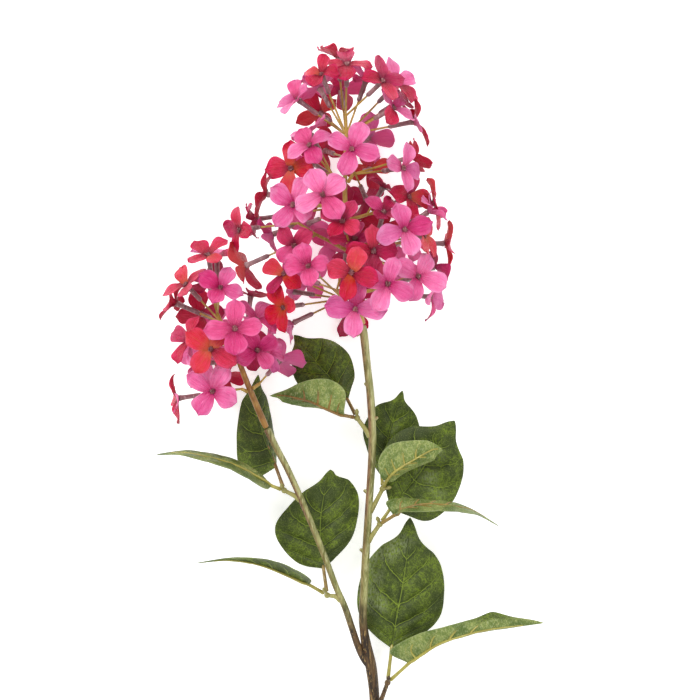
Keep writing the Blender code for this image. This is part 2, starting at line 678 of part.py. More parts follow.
def slab(points, faces, half):
    """Points and faces of a sheet thickened by half on each side."""
    normals = [Vector() for _ in points]
    for face in faces:
        a, b, c = (points[i] for i in face[:3])
        normal = (b - a).cross(c - a)
        for i in face:
            normals[i] += normal
    normals = [n.normalized() * half for n in normals]
    count = len(points)
    solid = [p + n for p, n in zip(points, normals)] + [p - n for p, n in zip(points, normals)]
    shell = [tuple(f) for f in faces] + [tuple(i + count for i in reversed(f)) for f in faces]
    edges = {}
    for face in faces:
        for a, b in zip(face, face[1:] + face[:1]):
            edges[(a, b)] = (b, a) in edges or edges.get((a, b), False)
    for a, b in list(edges):
        if (b, a) not in edges:
            shell.append((b, a, a + count, b + count))
    return solid, shell


def tree(shapes):
    """One search tree over several (points, faces) shapes."""
    points = []
    faces = []
    for shape_points, shape_faces in shapes:
        start = len(points)
        points.extend(shape_points)
        faces.extend(tuple(i + start for i in face) for face in shape_faces)
    return BVHTree.FromPolygons(points, faces)


def floret_head(parts, extra):
    return [slab(parts["points"], parts["faces"], 0.5 * BLADE + extra), prism(parts["tube"], extra)]


def floret_all(parts, extra):
    return floret_head(parts, extra) + [prism(parts["pedicel"], extra, 3)]


def lowest(parts):
    return min(point.z for shape, _ in floret_all(parts, 0.0) for point in shape)


def place_floret(spot, root, lean, angle, seed, others, own):
    """The first of a row of small moves that leaves the floret clear of what stands already."""
    spare = None
    growth = random.Random(1000 + seed).uniform(0.84, 1.0) if lean < 0.75 else 1.0
    for lift in LIFTS:
        for turn in TURNS:
            for slide in SLIDES:
                moved = Vector(spot) + Vector((slide[0], slide[1], lift))
                parts = floret(moved, root, lean, angle + turn, random.Random(seed), growth)
                if lowest(parts) < 0.8:
                    continue
                whole = tree(floret_all(parts, GAP + 0.1))
                if any(whole.overlap(other) for other in others):
                    continue
                if spare is None:
                    spare = parts
                head = tree(floret_head(parts, 0.1))
                if not any(head.overlap(other) for other in own):
                    return parts
    return spare


def underside_floret(root, index, first, seed, others, own, bears):
    """One floret of the underside, spread by the golden angle over the lower half."""
    draw = random.Random(seed)
    azimuth = math.radians(first + 137.5 * index)
    angle = draw.uniform(0.0, 90.0)
    for steep in (56.0, 34.0, 16.0, 70.0, 4.0, -10.0):
        for swing in (0.0, 14.0, -14.0, 28.0, -28.0, 45.0, -45.0):
            for reach in (REACH, REACH - 4.0, REACH + 5.0, REACH - 7.0):
                way = azimuth + math.radians(swing)
                drop = math.radians(steep + 6.0 * (index % 3))
                out = Vector((math.cos(way), math.sin(way), 0.0)) * (math.cos(drop) * reach)
                spot = Vector(root) + out - Vector((0.0, 0.0, math.sin(drop) * reach))
                parts = floret(spot, root, -0.25, angle, random.Random(seed))
                for _ in range(8 if bears else 0):
                    spot.z -= lowest(parts)
                    parts = floret(spot, root, -0.25, angle, random.Random(seed))
                if lowest(parts) < (-0.05 if bears else 0.8):
                    continue
                whole = tree(floret_all(parts, GAP + 0.1))
                if any(whole.overlap(other) for other in others):
                    continue
                head = tree(floret_head(parts, 0.1))
                if not any(head.overlap(other) for other in own):
                    return parts
    return None


def leaf_surface(spine, rows, tip):
    """Points and triangles of a blade from its rows of left edge, rib and right edge."""
    points = [Vector(spine[-1])]
    for row in rows:
        points.extend(Vector(p) for p in row)
    points.append(Vector(tip))
    faces = [(0, 2, 1), (0, 3, 2)]
    for i in range(len(rows) - 1):
        left, rib, right = 1 + 3 * i, 2 + 3 * i, 3 + 3 * i
        faces.append((left, rib, rib + 3))
        faces.append((left, rib + 3, left + 3))
        faces.append((rib, right, rib + 3))
        faces.append((right, right + 3, rib + 3))
    last = 1 + 3 * (len(rows) - 1)
    end = len(points) - 1
    faces.append((last, last + 1, end))
    faces.append((last + 1, last + 2, end))
    return points, faces


def petiole(spine, rows):
    """Stations of a leaf's stalk, from just off its knob to the blade, and on as its rib."""
    knob = Vector(spine[0])
    base = Vector(spine[1])
    away = (base - knob).normalized()
    start = knob + away * (KNOB + GAP + 0.55)
    middle = start.lerp(base, 0.5) + Vector((0.0, 0.0, 0.6))
    stations = [(*start, PETIOLE * 1.1), (*middle, PETIOLE), (*base, PETIOLE)]
    for row, radius in zip(rows[:2], (0.8, 0.6)):
        stations.append((*row[1], radius))
    return stations


def stem_way(spot):
    """The direction of the stem or side stem at the station nearest to a place."""
    best = None
    for path in (STEM, SIDE_STEM):
        for low, high in zip(path, path[1:]):
            middle = (Vector(low[:3]) + Vector(high[:3])) / 2.0
            far = (middle - spot).length
            if best is None or far < best[0]:
                best = (far, (Vector(high[:3]) - Vector(low[:3])).normalized())
    return best[1]


def twig_stations(joint, stem_radius, knob):
    """Stations of a leaf twig: square off the stem's side, then along to its knob."""
    joint = Vector(joint)
    knob = Vector(knob)
    along = stem_way(joint)
    toward = knob - joint
    out = (toward - along * toward.dot(along)).normalized()
    start = joint + out * (stem_radius + GAP + 0.1)
    return [(*start, 1.7), (*(start + out * 1.4), 1.55), (*knob.lerp(start, 0.35), 1.3), (*knob, 1.25)]


def build_stem(home, helpers):
    pieces = [rod("stem_rod", STEM, 10, home, helpers), rod("side_rod", SIDE_STEM, 8, home, helpers)]
    for i, (low, high) in enumerate(NUBS):
        pieces.append(rod("nub_%d" % i, [(*low, 1.5), (*high, 0.8)], 5, home, helpers))
    return fuse("forked_stem", pieces, home, principled("stem_bark", "stem", 0.6))


def build_rachises(home, helpers):
    stalk = principled("flower_stalk_ochre", "stalk", 0.5)
    fuse("main_head_stalk", [rod("main_stalk", RACHIS, 7, home, helpers)], home, stalk)
    fuse("side_head_stalk", [rod("side_stalk", SIDE_RACHIS, 7, home, helpers)], home, stalk)


def build_twigs(home, helpers):
    green = principled("twig_green", "twig", 0.55)
    for name, (joint, radius, knob, bud) in TWIGS.items():
        ball = Vector(knob)
        lift = (Vector(bud) - ball).normalized()
        pieces = [
            rod(name + "_rod", twig_stations(joint, radius, knob), 6, home, helpers),
            rod(
                name + "_knob",
                [(*(ball - lift * 1.5), 0.8), (*ball, KNOB), (*(ball + lift * 1.5), 0.8)],
                6,
                home,
                helpers,
            ),
            rod(
                name + "_bud",
                [(*ball, 0.8), (*ball.lerp(Vector(bud), 0.7), 1.15), (*bud, 0.5)],
                5,
                home,
                helpers,
            ),
        ]
        fuse(name, pieces, home, green)


def build_leaves(home, helpers):
    dark = principled("leaf_green", "leaf", 0.55)
    pale = principled("leaf_underside_green", "pale leaf", 0.65)
    for name, (spine, rows, tip) in LEAVES.items():
        points, faces = leaf_surface(spine, rows, tip)
        pieces = [
            sheet(name + "_blade", points, faces, home),
            rod(name + "_rib", petiole(spine, rows), 4, home, helpers),
        ]
        fuse(name, pieces, home, dark if "dark" in name or "upright" in name else pale)


def stalk_stations(points):
    return [(*p, SPRIG_STALK * (1.0 - 0.12 * i)) for i, p in enumerate(points)]


def standing_shapes():
    """Search trees of everything that the florets must keep clear of."""
    shapes = [tree([prism(STEM, 0.0, 8)]), tree([prism(SIDE_STEM, 0.0, 8)])]
    shapes.append(tree([prism(RACHIS, 0.0, 6)]))
    shapes.append(tree([prism(SIDE_RACHIS, 0.0, 6)]))
    for spine, rows, tip in LEAVES.values():
        points, faces = leaf_surface(spine, rows, tip)
        shapes.append(tree([slab(points, faces, 0.5 * BLADE), prism(petiole(spine, rows), 0.0)]))
    return shapes


def arrange_florets():
    """Every sprig's florets, each clear of the stems, the leaves and the other sprigs."""
    fixed = standing_shapes()
    stalks = {}
    for name, (points, _) in SPRIGS.items():
        stalks[name] = tree([prism(stalk_stations(points), 0.0)])
    for name, (points, _, _, _) in UNDERSIDE.items():
        stalks[name] = tree([prism(stalk_stations(points), 0.0)])
    placed = {name: [] for name in stalks}
    whole = {name: [] for name in stalks}
    heads = {name: [] for name in stalks}
    seed = SEED

    def keep(name, parts, colour):
        placed[name].append((parts, colour))
        whole[name].append(tree(floret_all(parts, 0.0)))
        heads[name].append(tree(floret_head(parts, 0.0)))

    def rivals(name):
        return (
            fixed
            + [shape for other, shape in stalks.items() if other != name]
            + [shape for other, shapes in whole.items() if other != name for shape in shapes]
        )

    for name, (points, florets) in SPRIGS.items():
        for x, y, z, grows, lean, angle, colour in florets:
            seed += 1
            parts = place_floret(
                (x, y, z), points[grows], lean, angle, seed, rivals(name), heads[name]
            )
            if parts:
                keep(name, parts, colour)
    for name, (points, count, first, bears) in UNDERSIDE.items():
        for index in range(count):
            seed += 1
            parts = underside_floret(
                points[-1], index, first, seed, rivals(name), heads[name], bears and index == 0
            )
            if parts:
                keep(name, parts, ("pink", "red", "magenta")[index % 3])
    return placed


def build_sprigs(home, helpers):
    petals = {
        "pink": principled("petal_pink", "pink", 0.6),
        "red": principled("petal_red", "red", 0.6),
    }
    arranged = arrange_florets()
    for name, florets in arranged.items():
        points = SPRIGS[name][0] if name in SPRIGS else UNDERSIDE[name][0]
        pieces = [rod(name + "_stalk", stalk_stations(points), 5, home, helpers)]
        for i, (parts, _) in enumerate(florets):
            stations = parts["pedicel"][:-1] + parts["tube"]
            pieces.append(rod("%s_tube_%d" % (name, i), stations, 4, home, helpers))
            pieces.append(sheet("%s_petals_%d" % (name, i), parts["points"], parts["faces"], home))
        pinks = sum(1 for _, colour in florets if colour.split()[0] in ("pink", "rose", "lilac"))
        fuse(name, pieces, home, petals["pink" if 2 * pinks >= len(florets) else "red"])


def main():
    clear_scene()
    home = collection("lilac_stem")
    helpers = collection("profiles", helpers=True)
    build_stem(home, helpers)
    build_rachises(home, helpers)
    build_twigs(home, helpers)
    build_leaves(home, helpers)
    build_sprigs(home, helpers)


main()
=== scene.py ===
"""The looks of the lilac stem: an artificial spray of fabric florets on plastic stems, on a pale table."""

import itertools
import math
import random

import bpy
import numpy as np
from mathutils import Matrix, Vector

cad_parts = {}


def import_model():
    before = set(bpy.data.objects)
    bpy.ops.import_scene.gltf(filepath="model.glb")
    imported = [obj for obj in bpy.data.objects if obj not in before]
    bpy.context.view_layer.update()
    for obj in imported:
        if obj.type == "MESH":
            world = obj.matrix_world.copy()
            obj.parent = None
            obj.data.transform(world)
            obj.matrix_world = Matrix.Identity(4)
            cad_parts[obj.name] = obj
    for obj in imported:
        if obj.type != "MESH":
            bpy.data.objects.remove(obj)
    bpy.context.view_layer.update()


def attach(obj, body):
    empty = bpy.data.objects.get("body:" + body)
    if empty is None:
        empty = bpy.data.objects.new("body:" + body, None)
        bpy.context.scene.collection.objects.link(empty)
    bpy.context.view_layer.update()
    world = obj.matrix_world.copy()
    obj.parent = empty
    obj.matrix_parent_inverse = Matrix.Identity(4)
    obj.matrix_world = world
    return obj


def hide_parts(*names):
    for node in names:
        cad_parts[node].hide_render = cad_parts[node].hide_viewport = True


# Places and sizes are in the photo's millimetres, and become metres in the part's frame in to_frame()
MM = 0.001
CENTRE_X = 0.2
CENTRE_Y = -8.65
# Gap between touching solids of the part
GAP = 0.3
KNOB = 1.9
SPRIG_STALK = 1.15
TUBE_LENGTH = 16.0
PETAL_LENGTH = 17.4
PETAL_WIDTH = 12.0
# Half the thickness of the fabric
PETAL_HALF = 0.17
LEAF_HALF = 0.24
# No petal goes lower than this over the table
PETAL_FLOOR = 0.3
# A floret that leans up more than this is full grown and opens flat
FLAT_LEAN = 0.75
# What florets of the underside have in common
UNDER_LEAN = -0.25
UNDER_GROWTH = 0.92
UNDER_KINDS = ("pink", "red", "magenta")
# Where each row of seeds starts, and the one seed whose floret found no clear place in the part
SHAPE_SEED = 20
GROWTH_SEED = 1000
FINE_SEED = 500
NO_FLORET = 35
# How finely leaves are made, and where their side veins run
LEAF_ROWS = 85
LEAF_COLUMNS = 33
VEINS = 6.2
VEIN_SLANT = 0.2
VEIN_BEND = 0.05
# Share of a petal's length at each of its rows, and of its half width at each of its columns
PETAL_ROWS = np.array((0.07, 0.13, 0.2, 0.29, 0.39, 0.5, 0.61, 0.72, 0.81, 0.885, 0.94, 0.975, 0.995))
PETAL_COLUMNS = np.linspace(-1.0, 1.0, 11)
# Share of its length at which a petal is widest
PETAL_BROAD = 0.66

# Stations of the stem and its side stem: a place on the axis and the radius there
STEM = [
    (16.5, -229, 3.12, 3.3), (15.6, -205, 4.6, 3.2), (14.6, -179, 8, 3.1), (12.6, -162, 11.4, 3.4),
    (10, -150, 14, 3.1), (8.4, -140, 16.2, 2.6), (7.8, -130, 18.3, 2.45), (9, -102, 23.4, 2.35),
    (10.2, -82, 27, 2.3), (11.8, -57, 31.4, 2.3), (13.4, -26, 36.4, 2.35), (12.4, 0, 40.2, 2.35),
    (10.2, 21, 43.2, 2.3), (8.4, 38, 45.6, 2.45), (7.4, 44, 46.3, 2.3),
]
SIDE_STEM = [
    (12.4, -163, 11.6, 2), (8.4, -157, 13, 2.3), (4.8, -149.4, 15.2, 2.15), (1.2, -138.6, 18, 2),
    (-3.2, -125.4, 21.2, 1.95), (-8.4, -113.4, 23.8, 1.9), (-16.5, -91.8, 28, 1.9), (-28.2, -63, 32.6, 1.9),
    (-37.2, -42.6, 35.4, 1.95), (-43.8, -30, 36.8, 2), (-49.6, -18.2, 38, 2.2),
]
# Leaf scars: the foot and the tip of each
NUBS = [
    ((12, 8, 41), (8.9, 10, 41.6)), ((13.2, -12, 38.5), (16.6, -10.6, 38.9)),
    ((11.7, -56, 31.6), (8.4, -54.6, 32.2)), ((9.4, -92, 25.2), (6.1, -90.4, 25.8)),
]
# The middle stalk of each head
RACHIS = [
    (7.1, 46, 46.6, 2.1), (5, 56, 47.8, 1.9), (2, 75, 49.4, 1.7), (-1.2, 98, 50.6, 1.55),
    (-3, 120, 51.4, 1.4), (-2.8, 142, 52, 1.25), (-2.4, 156.5, 52.4, 1.15),
]
SIDE_RACHIS = [
    (-50.6, -16.2, 38.4, 1.75), (-53, -11, 39.2, 2), (-59.4, 4.2, 41.6, 1.8), (-64.8, 18, 43.4, 1.7),
    (-70, 32, 45, 1.5), (-76, 44.4, 46.2, 1.3),
]
# Each sprig that shows: its stalk's points from the foot, then its florets as (x, y, z, stalk point it
# grows from, lean toward +Z, angle of one petal in degrees, kind of floret or each petal's colour).
# Florets stand where the part's search for clear places left them
SPRIGS = {
    "main_head_top_sprig": ([(-2.3, 158.6, 52.5), (-2.6, 170, 53.5)], [
        (-1.8, 200.4, 64, 1, 0.35, 90, "magenta red red red"), (-16.9, 193.8, 70, 0, 0.45, 75, "red"),
        (-7.4, 205.5, 44, 0, 0.1, 60, "red"), (-31.2, 179.4, 58, 0, 0.5, 92, "pink"),
        (-18.5, 187, 52, 0, -0.5, 100, "pink"), (-18, 173, 34, 0, -0.4, 60, "red"),
        (9.6, 191.4, 54, 0, -0.35, 88, "pink"), (-5.4, 186, 34, 0, -0.6, 2, "magenta"),
        (19.3, 190, 70, 1, 0.3, 100, "red"), (27.5, 189.3, 54, 0, 0.5, 27, "pink pink red red"),
        (29.4, 180, 38, 0, 0.1, 45, "red"), (25.9, 174.5, 64, 0, 0.3, 60, "pink pink red pink"),
        (38.5, 167, 48, 0, 0.2, 20, "red red pink red"),
    ]),
    "main_head_upper_right_sprig": ([(-0.6, 131.4, 53.6), (1.8, 135, 57.4)], [
        (1.2, 148.8, 90, 1, 1.3, 67, "pink"), (31.4, 138.2, 70, 1, 0.5, 80, "pink pink pink lilac"),
        (37, 146, 46, 1, 0.2, 60, "red"), (12, 139, 28, 1, -0.6, 30, "red"),
    ]),
    "main_head_upper_left_sprig": ([(-5, 128, 52.6), (-9.5, 133, 56)], [
        (-35, 138.2, 66, 1, 0.8, 93, "coral"), (-24, 151.5, 74, 1, 0.3, 118, "rose pink rose pink"),
        (-24, 160, 54, 1, 0.1, 170, "pink"), (-23, 142.5, 42, 1, 0, 15, "magenta"),
    ]),
    "main_head_left_front_sprig": ([(-4.6, 112, 52.4), (-9.5, 115, 60)], [
        (-16.2, 121.8, 92, 1, 1.4, 33, "pink"), (-33.8, 116.2, 80, 1, 0.8, 57, "pink"),
        (-50.1, 123, 58, 1, 0.1, 48, "red"), (-55.5, 108.5, 44, 1, 0.2, 225, "magenta"),
    ]),
    "main_head_left_sprig": ([(-2.8, 90, 50.6), (-12, 95, 51), (-20, 99, 51), (-31, 106, 52)], [
        (-65.5, 101.6, 70, 3, 0, 175, "magenta red red red"), (-46.5, 99, 50, 3, 0, 270, "pink"),
        (-62.9, 79.9, 62, 2, -0.7, 183, "coral"), (-33, 92, 78, 2, 0.2, 40, "magenta"),
    ]),
    "main_head_lower_left_sprig": ([(4.4, 39.6, 47.4), (-1, 48, 49), (-4, 60.5, 51)], [
        (-39.1, 75.4, 72, 2, 0.7, 55, "pink coral magenta coral"), (-24.5, 79.6, 87, 2, 0.7, 190, "rose"),
        (-39.4, 55.4, 70, 2, 0.6, 112, "coral"), (-34.5, 46, 50, 2, 0.1, 235, "pink"),
        (-34.5, 65, 46, 2, 0, 100, "pink"),
    ]),
    "main_head_centre_sprig": ([(3, 83, 52.2), (2, 86, 62)], [
        (0.8, 75.6, 96, 1, 1.5, 72, "coral red coral red"), (13.8, 88.6, 88, 1, 0.3, 0, "red"),
        (-4.4, 106, 90, 1, 0.6, 60, "red"), (3, 96, 70, 0, -0.2, 175, "magenta"),
    ]),
    "main_head_right_sprig": ([(2, 92, 50.8), (15, 94, 54)], [
        (32.3, 101.2, 86, 1, 0.9, 105, "pink lilac pink rose"), (44, 98, 70, 1, -0.2, 45, "coral"),
        (47, 112.6, 58, 1, 0, 175, "pink"), (57, 94, 44, 1, 0, 10, "coral"),
        (20, 112, 72, 1, 0, 60, "magenta"),
    ]),
    "main_head_right_back_sprig": ([(0.5, 108.2, 50.6), (10, 111, 48)], [
        (35.1, 121.5, 59, 1, 0.5, 82, "red"), (50, 118.3, 44, 1, 0.1, 85, "coral red red magenta"),
        (20, 128, 42, 1, 0.2, 25, "magenta"),
    ]),
    "main_head_lower_right_sprig": ([(6.4, 64.3, 50.2), (14, 66, 55)], [
        (22.2, 69, 92, 1, 1.4, 68, "pink"), (40.4, 73.6, 78, 1, 0.9, 65, "pink"),
        (48, 61.6, 58, 1, 0.2, 350, "lilac pink pink rose"), (51, 80, 46, 1, 0, 330, "magenta"),
    ]),
    "main_head_bottom_sprig": ([(7, 52, 50), (7.6, 53, 56)], [
        (3.2, 54.2, 90, 1, 1.6, 357, "pink"),
    ]),
    "side_head_top_sprig": ([(-77, 46.4, 46.6), (-79.6, 52, 47)], [
        (-98, 69, 58, 0, 0.3, 30, "red coral red red"), (-104.4, 58, 40, 0, 0, 150, "red"),
        (-79.8, 85.8, 50, 1, 0.2, 88, "pink lilac rose magenta"), (-84.5, 86.5, 69, 1, 0.1, 215, "red"),
        (-77.1, 66.9, 72, 1, 0.3, 65, "rose"), (-85, 70, 40, 1, -0.2, 60, "magenta"),
        (-90.5, 52, 26, 0, -0.5, 40, "red"),
    ]),
    "side_head_right_sprig": ([(-65, 26.2, 46.4), (-63.2, 31.4, 52.8)], [
        (-68, 42.6, 88, 1, 1.4, 90, "rose"), (-55.9, 48.1, 62, 1, 0.2, 142, "pink"),
        (-59.5, 62.9, 50, 1, 0, 175, "red"), (-55.1, 30, 75, 1, 0.4, 300, "rose"),
        (-50, 29.4, 58, 0, -0.2, 264, "pink"),
    ]),
    "side_head_left_sprig": ([(-69.6, 21.8, 45.6), (-72, 23.6, 48)], [
        (-82.4, 30.6, 84, 1, 0.9, 55, "coral"), (-95, 36, 58, 1, 0.2, 165, "red"),
        (-92.6, 21, 52, 1, 0, 250, "pink"),
    ]),
    "side_head_low_sprig": ([(-62.6, 5.4, 43), (-65, 6.6, 45)], [
        (-81.6, 5.4, 74, 1, 1, 62, "pink"), (-103, 1, 50, 1, 0, 175, "red red rose red"),
    ]),
    "side_head_low_right_sprig": ([(-57.4, 7.6, 42.6), (-54.6, 9.6, 43)], [
        (-41.6, 24.4, 38, 1, -0.7, 92, "pink"),
    ]),
}
# Sprigs of the underside: stalk points, then the centre of each floret
UNDERSIDE = {
    "main_head_back_top_sprig": ([(-2.8, 143, 49.8), (-1, 145, 40)], [
        (11.3477, 158.7135, 5.1295), (-15.3133, 150.9287, 10.8627), (10.1559, 121.0762, 12.6651),
    ]),
    "main_head_back_middle_sprig": ([(-2.6, 112, 48.8), (-8, 113, 40)], [
        (-25.3405, 106.6886, 12.6418), (4.4538, 103.7847, 10.8627), (-12.5912, 122.8458, 13.1117),
        (-8.99, 96.8137, 15.9579),
    ]),
    "main_head_back_right_sprig": ([(2.4, 86, 48), (12, 87, 40)], [
        (27.9811, 77.7733, 6.0172), (21.1967, 104.6667, 23.2875), (6.7756, 75.7962, 9.4029),
        (37.2757, 97.4695, 21.5466),
    ]),
    "main_head_back_low_sprig": ([(0, 64, 47.4), (-8, 66, 40)], [
        (-25.3405, 72.3114, 12.6418), (-0.8463, 52.2579, 10.8627), (-2.0584, 88.1744, 27.7937),
    ]),
    "side_head_back_sprig": ([(-71, 26, 42.8), (-73, 28, 36)], [
        (-82.2267, 43.9811, 9.9766), (-75.9468, 14.708, 10.3945), (-63.9071, 31.4904, 11.8932),
        (-87.4456, 26.3541, 14.445),
    ]),
}
# Each leaf: the face that shows from above, its rib's look, its stalk's two points, rows across the blade
# from base to tip as x, y and z of the left edge, the rib and the right edge, and its tip. Where both faces
# show, three numbers say where the dark begins, across and along, and where it ends
LEAVES = {
    "leaf_upper_left_dark": ("dark", "amber", [(4.2, -10.8, 39.4), (-1.2, -0.4, 36.4)], [
        (-13, 1.5, 32, -4.6, 5, 34, 0.6, 6.5, 35),
        (-26, 4.5, 29, -11, 12.5, 31.5, 2.8, 15, 33),
        (-33, 12, 27, -18, 20, 30.5, -0.4, 27, 31.5),
        (-35.2, 22, 26.5, -25, 28, 30.5, -9.5, 35, 31.5),
        (-34.8, 32, 28.5, -30, 34, 31, -21, 37.8, 31.5),
    ], (-33.7, 39.2, 32)),
    "leaf_upper_left_pale": ("pale", "rust", [(4.2, -10.8, 39.4), (-3, -9.4, 44)], [
        (-3.6, -6.6, 50, -8.5, -6.9, 45.4, -7.4, -7.6, 38),
        (-3, 5.2, 50, -15.5, -4.2, 46.4, -17, -5.2, 36),
        (-11.4, 12, 48, -23.4, -0.6, 46.8, -28, -4, 36),
        (-22.6, 12.4, 47, -32.5, 1.6, 46, -36, -2.4, 38.5),
        (-35, 8.4, 45, -40.5, 2.8, 44, -42.6, -0.4, 41),
    ], (-48.2, 2.6, 42)),
    "leaf_upper_right_dark": ("dark", "yellow", [(19.8, -53.4, 32.6), (19.2, -46.6, 28)], [
        (13.6, -38, 23.5, 20.2, -39, 26, 29, -41, 22.5),
        (9.4, -27, 22, 22, -28, 25, 37.5, -32, 20.5),
        (8.2, -16.6, 23, 24.4, -17.4, 25.5, 42, -20.5, 21),
        (15.2, -4.4, 26, 27.6, -7, 27, 40.2, -10.4, 24),
        (23.6, -0.4, 28.5, 29.8, -0.6, 29, 35, -2.4, 28),
    ], (31.6, 5.6, 31)),
    "leaf_right_dark": ("dark", "yellow", [(18, -75, 29.6), (24.4, -65.4, 29)], [
        (22.6, -58.6, 28.6, 29.4, -59.4, 29.5, 35, -70, 27),
        (20.4, -46.6, 31.6, 35.8, -52, 31.4, 47.6, -73, 27),
        (19.4, -33, 31.5, 42.4, -43.6, 33.4, 60.4, -63.6, 28.5),
        (28, -20.4, 33, 49, -33, 34.6, 67.8, -47, 31),
        (43.6, -14.4, 34.5, 56, -22.6, 36, 67.6, -31, 34),
    ], (63, -12.4, 38)),
    "leaf_right_folded": ("pale", "yellow", [(19.8, -53.4, 32.6), (21.6, -49, 38)], [
        (18.2, -45.4, 42, 24.6, -44.8, 42, 25.8, -48.8, 40),
        (17.4, -35.4, 44, 29.6, -40.8, 44, 31.2, -44.8, 41),
        (24, -27, 45, 36.4, -36.8, 45.4, 38.4, -41, 42),
        (36, -24.4, 45.4, 43.8, -32.6, 46, 45.6, -38, 43),
        (50, -25, 46, 50.6, -29.4, 46, 51.8, -35.2, 44.5),
    ], (55.6, -30, 46)),
    "leaf_right_arched": ("pale", "amber", [(18, -75, 29.6), (26.4, -69.6, 40)], [
        (22, -61.4, 38.6, 33, -66.4, 46, 31, -66.8, 58),
        (33, -59.2, 38.4, 42.6, -63.8, 49.6, 42.6, -66.6, 63),
        (46, -60.4, 39, 52.6, -63.6, 51, 53.6, -66, 66),
        (59, -61.2, 39.6, 63, -64.4, 50.4, 65, -66.6, 64),
        (72, -65.4, 41, 74.2, -67, 47.6, 76.4, -69, 57),
    ], (89.6, -75.8, 43)),
    "leaf_low_right_dark": ("dark", "yellow", [(22.8, -171.6, 14.4), (25.2, -151, 12)], [
        (14, -142.4, 9, 26.6, -143, 12, 41.6, -144, 9),
        (5.8, -131, 8.4, 28.4, -131, 12.6, 54, -133, 8.4),
        (4.8, -116, 9, 31.2, -117, 13.6, 57.2, -117, 9.4),
        (10.6, -98.6, 11.6, 33.6, -102, 15.2, 55.2, -101, 11.6),
        (24, -83.6, 14.6, 35.2, -87, 16.6, 47.6, -88.6, 14.6),
    ], (36.4, -71.2, 19)),
    "leaf_low_right_arched": ((0.5, 0.62, 0.92), "yellow", [(22.8, -171.6, 14.4), (35.6, -159.4, 22)], [
        (24, -152, 24, 42, -153.8, 27, 42.6, -155, 17),
        (39.6, -141.6, 33, 53.4, -146.2, 34, 54.4, -147.6, 19),
        (56, -136.6, 38, 66.8, -141.4, 38.4, 67.8, -142.8, 22),
        (74, -131.6, 39, 80.6, -138, 39.6, 81.6, -139.4, 24),
        (91, -127, 35, 95, -136.4, 37, 96, -138, 26),
    ], (117, -134.6, 29)),
    "leaf_centre_dark": ("dark", "amber", [(-13.8, -118.2, 22.6), (-16, -102.4, 18)], [
        (-30.6, -99.6, 14, -17.2, -95, 17, -7.6, -94.6, 15),
        (-42, -88.6, 12.4, -18, -84, 16.6, 0.8, -84.4, 14.4),
        (-45.2, -76.4, 12.4, -17.8, -73, 17, 4.8, -70.4, 14.8),
        (-35.6, -63, 15, -16.4, -61.6, 18.2, 4.6, -56.6, 16.4),
        (-23.4, -51.8, 18, -14.2, -51, 19.4, -3.6, -45.8, 18.4),
    ], (-12, -42.2, 22)),
    "leaf_left_arched": ((0.3, 0.3, 1.2), "yellow", [(-39.6, -54.6, 32.4), (-47.2, -51.8, 36)], [
        (-50.6, -53.2, 48, -55, -47.8, 40, -54, -44.8, 30),
        (-61, -47, 56, -65, -42.2, 43.6, -65, -38, 30),
        (-72.4, -41, 59, -75.6, -37.8, 45.4, -76, -34.2, 31),
        (-86, -36.8, 57, -87.4, -34.6, 45, -88, -31.8, 33),
        (-100, -33.6, 50, -101, -32, 42.4, -101.4, -30.2, 35),
    ], (-116.6, -32.9, 38)),
    "leaf_left_upright": ("dark", "rust", [(-39.6, -54.6, 32.4), (-44.6, -40.8, 27)], [
        (-56, -46.6, 21, -47.6, -33.6, 25.4, -44.6, -36, 18),
        (-66.6, -40.6, 18, -51.4, -24.6, 24.4, -45.2, -27.4, 14),
        (-68.6, -25.4, 18, -54.2, -14, 24.2, -46.8, -17, 13.6),
        (-67.2, -9.4, 20, -55.6, -3.4, 25, -48.8, -5.6, 16.4),
        (-63.6, 3.4, 23, -56.2, 6, 26.2, -51.6, 5, 21),
    ], (-55.4, 15.2, 28)),
    "leaf_low_left_arched": ((-0.25, -0.2, 0.8), "yellow", [(-13.8, -118.2, 22.6), (-24.6, -111.8, 25)], [
        (-23.8, -108, 37, -33, -107, 29.6, -31.4, -109.4, 19),
        (-33.8, -101.2, 45, -42, -102.8, 33.4, -41.4, -104.4, 19),
        (-46, -96.4, 47, -51.8, -99.2, 35.4, -51.6, -100.8, 20),
        (-58.6, -94.8, 45, -62.2, -97, 35.2, -62.2, -98.8, 22),
        (-72.4, -95.2, 39, -74.6, -96.2, 32.6, -74.8, -97.6, 24),
    ], (-92.6, -98.6, 27)),
}
# Leaves that show their pale face without raised side ribs
SMOOTH_PALE = ("leaf_left_arched", "leaf_low_left_arched")
# Each leaf twig: where it leaves the stem's axis, the stem's radius there, its knob and its bud's tip
TWIGS = {
    "upper_left_leaf_twig": ((12.9, -20.4, 37.2), 2.35, (4.2, -10.8, 39.4), (4, -5.8, 44.6)),
    "upper_right_leaf_twig": ((11.2, -66, 29.9), 2.3, (19.8, -53.4, 32.6), (24.6, -52.6, 35)),
    "right_leaf_twig": ((10.1, -84, 26.7), 2.3, (18, -75, 29.6), (16.4, -70.8, 33.8)),
    "low_right_leaf_twig": ((14.9, -187, 7), 3.15, (22.8, -171.6, 14.4), (23.4, -167.6, 20.4)),
    "left_leaf_twig": ((-30, -58.8, 33.1), 1.95, (-39.6, -54.6, 32.4), (-41.4, -50.8, 38.4)),
    "low_left_leaf_twig": ((-5.6, -119.8, 22.4), 1.95, (-13.8, -118.2, 22.6), (-16, -113.8, 28.6)),
}

# The lamps light the table past white, so colours are taken down by this share
UNDER_LIGHT = 0.82
